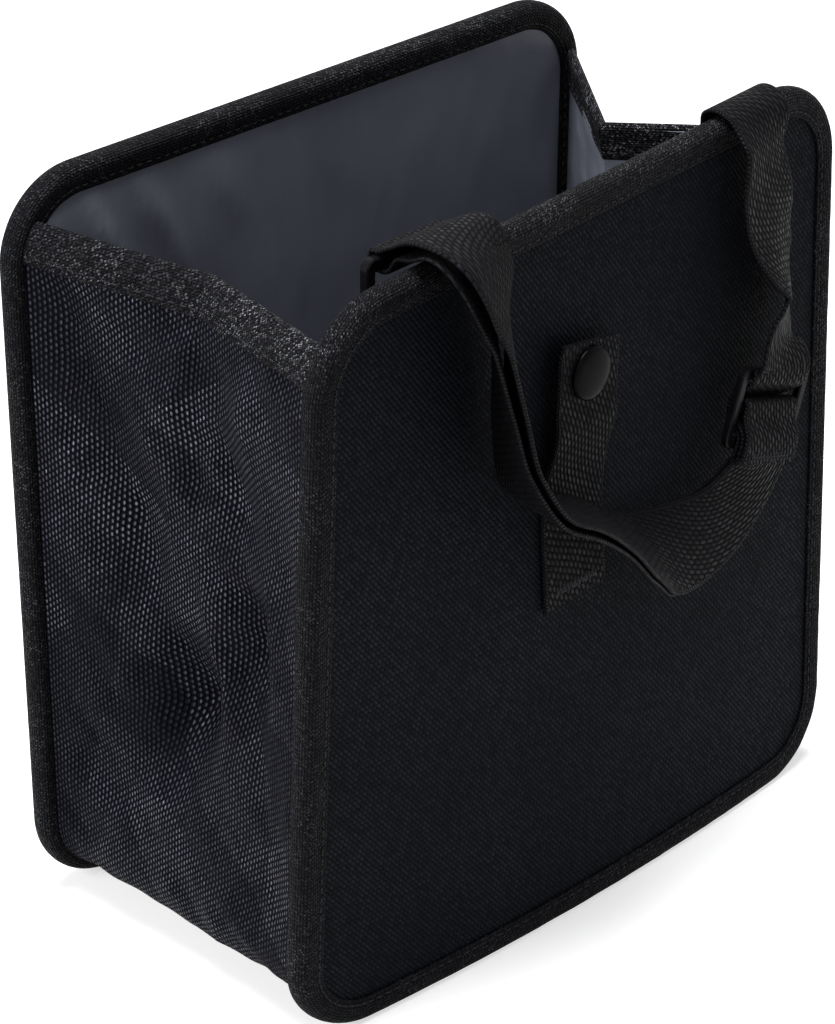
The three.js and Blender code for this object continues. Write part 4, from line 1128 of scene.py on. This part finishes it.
def add_binding_stitches(side):
    rows, ways = [], []
    for face in (1, -1):
        out = face * (tape_height(STITCH_INSET) - 0.1)
        line = round_outline(side, STITCH_INSET, out, STITCH_PITCH / 2)
        foot, tip = (on_panel(side, *np.array([0.0, reach, 0.0])) for reach in (0, face))
        for i in range(0, len(line) - 1, 2):
            rows.append((line[i], line[i + 1]))
            ways.append(tip - foot)
    stitch_row(side + "_binding_stitches", rows, ways, 2.2, 0.24, side + "_panel")


add_binding_stitches("front")
add_binding_stitches("rear")


def add_end_stitches(side):
    rows, ways = [], []
    below = END_BINDING_HEIGHT * 0.8
    run = below if side == "left" else STRIP_END - below
    shares = np.linspace(0.015, 0.985, 61)
    deep = LINING_DEPTH + GUSSET_LINING + GUSSET_GAP
    for depth, way in ((-GUSSET_GAP - END_BINDING_TAPE * 0.9, -1), (deep + END_BINDING_TAPE * 0.9, 1)):
        line = [np.array(gusset_point(run, s, depth)) for s in shares]
        inner = [np.array(gusset_point(run, s, depth + 0.5 * way)) for s in shares]
        for i in range(0, len(line) - 1, 2):
            rows.append((line[i], line[i + 1]))
            ways.append(inner[i] - line[i])
    piece = stitch_row(side + "_end_stitches", rows, ways, 2.1, 0.22)
    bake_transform(piece)


add_end_stitches("left")
add_end_stitches("right")


def bar_tack(name, place, width, depth, body):
    """A dense bar of stitches: place(s, t) is a point of the webbing's face and the way out of it."""
    rows, ways = [], []
    count = 22
    for i in range(count):
        s = (i / (count - 1) - 0.5) * width
        lean = depth if i % 2 else -depth
        start, out = place(s - 0.3, -lean)
        end, _ = place(s + 0.3, lean)
        rows.append((start, end))
        ways.append(out)
    stitch_row(name, rows, ways, 2 * depth + 0.4, 0.2, body)


TOWARDS_FRONT = np.array([0, -1.0, 0])


def on_tab(s, t):
    x, z = STUD_X + s, TAB_BOTTOM + 4.5 + t
    y = FRONT_FACE - COVER_OUT - stand_out(x, z) - SEWN_OUT - 0.65
    return np.array([x, y, z]), TOWARDS_FRONT


def on_sewn_end(s, t):
    place, across = at_slider(end_bar + 2.6 + t, on_bar + 2 * WEB_STEP + WEB_THICKNESS / 2)
    return place + across * s, TOWARDS_FRONT


bar_tack("tab_tack", on_tab, 15, 1.3, "front_panel")
bar_tack("strap_tack", on_sewn_end, 17, 1.3, "slider")

# Solids that stay and their finishes; slider and ring get rounded edges
KEPT = {
    "front_board": BOARD,
    "rear_board": BOARD,
    "strap_slider": PLASTIC,
    "strap_ring": PLASTIC,
    "snap_socket": SNAP,
    "snap_stud": SNAP,
    "snap_post": SNAP,
}
for node, material in KEPT.items():
    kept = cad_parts[node]
    kept.data.materials.clear()
    kept.data.materials.append(material)
for node in ("strap_slider", "strap_ring"):
    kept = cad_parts[node]
    rounding = kept.modifiers.new("rounding", "BEVEL")
    rounding.width = 0.35 * MM
    rounding.segments = 3
    rounding.limit_method = "ANGLE"
    rounding.angle_limit = math.radians(30)
    kept.data.shade_smooth()


# Studio
def add_lamp(name, place, size, watts):
    """A softbox that points at the bag's middle."""
    data = bpy.data.lights.new(name, "AREA")
    data.shape = "RECTANGLE"
    data.size, data.size_y = size
    data.energy = watts
    lamp = bpy.data.objects.new(name, data)
    lamp.location = place
    way = Vector((0, 0, 0.12)) - Vector(place)
    lamp.rotation_euler = way.to_track_quat("-Z", "Y").to_euler()
    bpy.context.scene.collection.objects.link(lamp)


def background_seen(tree):
    """1 for the rays that see the white background: straight on, through glass or in a gloss."""
    path = tree.nodes.new("ShaderNodeLightPath")
    seen = path.outputs["Is Camera Ray"]
    for ray in ("Is Transmission Ray", "Is Glossy Ray"):
        either = tree.nodes.new("ShaderNodeMath")
        either.operation = "MAXIMUM"
        tree.links.new(seen, either.inputs[0])
        tree.links.new(path.outputs[ray], either.inputs[1])
        seen = either.outputs[0]
    return seen


def add_studio():
    add_lamp("left_softbox", (-1.5, 0.35, 0.9), (0.5, 0.9), 24)
    add_lamp("front_softbox", (-0.2, -1.7, 0.9), (1.0, 0.6), 2.5)
    add_lamp("top_softbox", (-0.1, 0.1, 1.8), (0.9, 0.9), 60)
    bpy.ops.mesh.primitive_plane_add(size=6, location=(0, 0, 0))
    floor = bpy.context.object
    floor.name = "floor"
    f = Finish("pale_floor")
    paper = f.add("ShaderNodeBsdfDiffuse")
    speckle = f.noise(0.02, 3)
    f.feed(paper.inputs[0], f.mix(speckle, (0.54, 0.54, 0.54), (0.56, 0.56, 0.56)))
    glow = f.add("ShaderNodeEmission")
    f.feed(glow.inputs["Strength"], f.times(background_seen(f.tree), 0.6))
    both = f.add("ShaderNodeAddShader")
    f.feed(both.inputs[0], paper.outputs[0])
    f.feed(both.inputs[1], glow.outputs[0])
    f.feed(f.add("ShaderNodeOutputMaterial").inputs[0], both.outputs[0])
    floor.data.materials.append(f.material)

    world = bpy.data.worlds.new("studio")
    world.use_nodes = True
    bpy.context.scene.world = world
    tree = world.node_tree
    strength = tree.nodes.new("ShaderNodeMapRange")
    strength.inputs["To Min"].default_value = 0.27
    tree.links.new(background_seen(tree), strength.inputs["Value"])
    back = tree.nodes["Background"]
    back.inputs["Color"].default_value = (1, 1, 1, 1)
    tree.links.new(strength.outputs[0], back.inputs["Strength"])
    bpy.context.scene.view_settings.view_transform = "Standard"


add_studio()

bpy.context.view_layer.update()
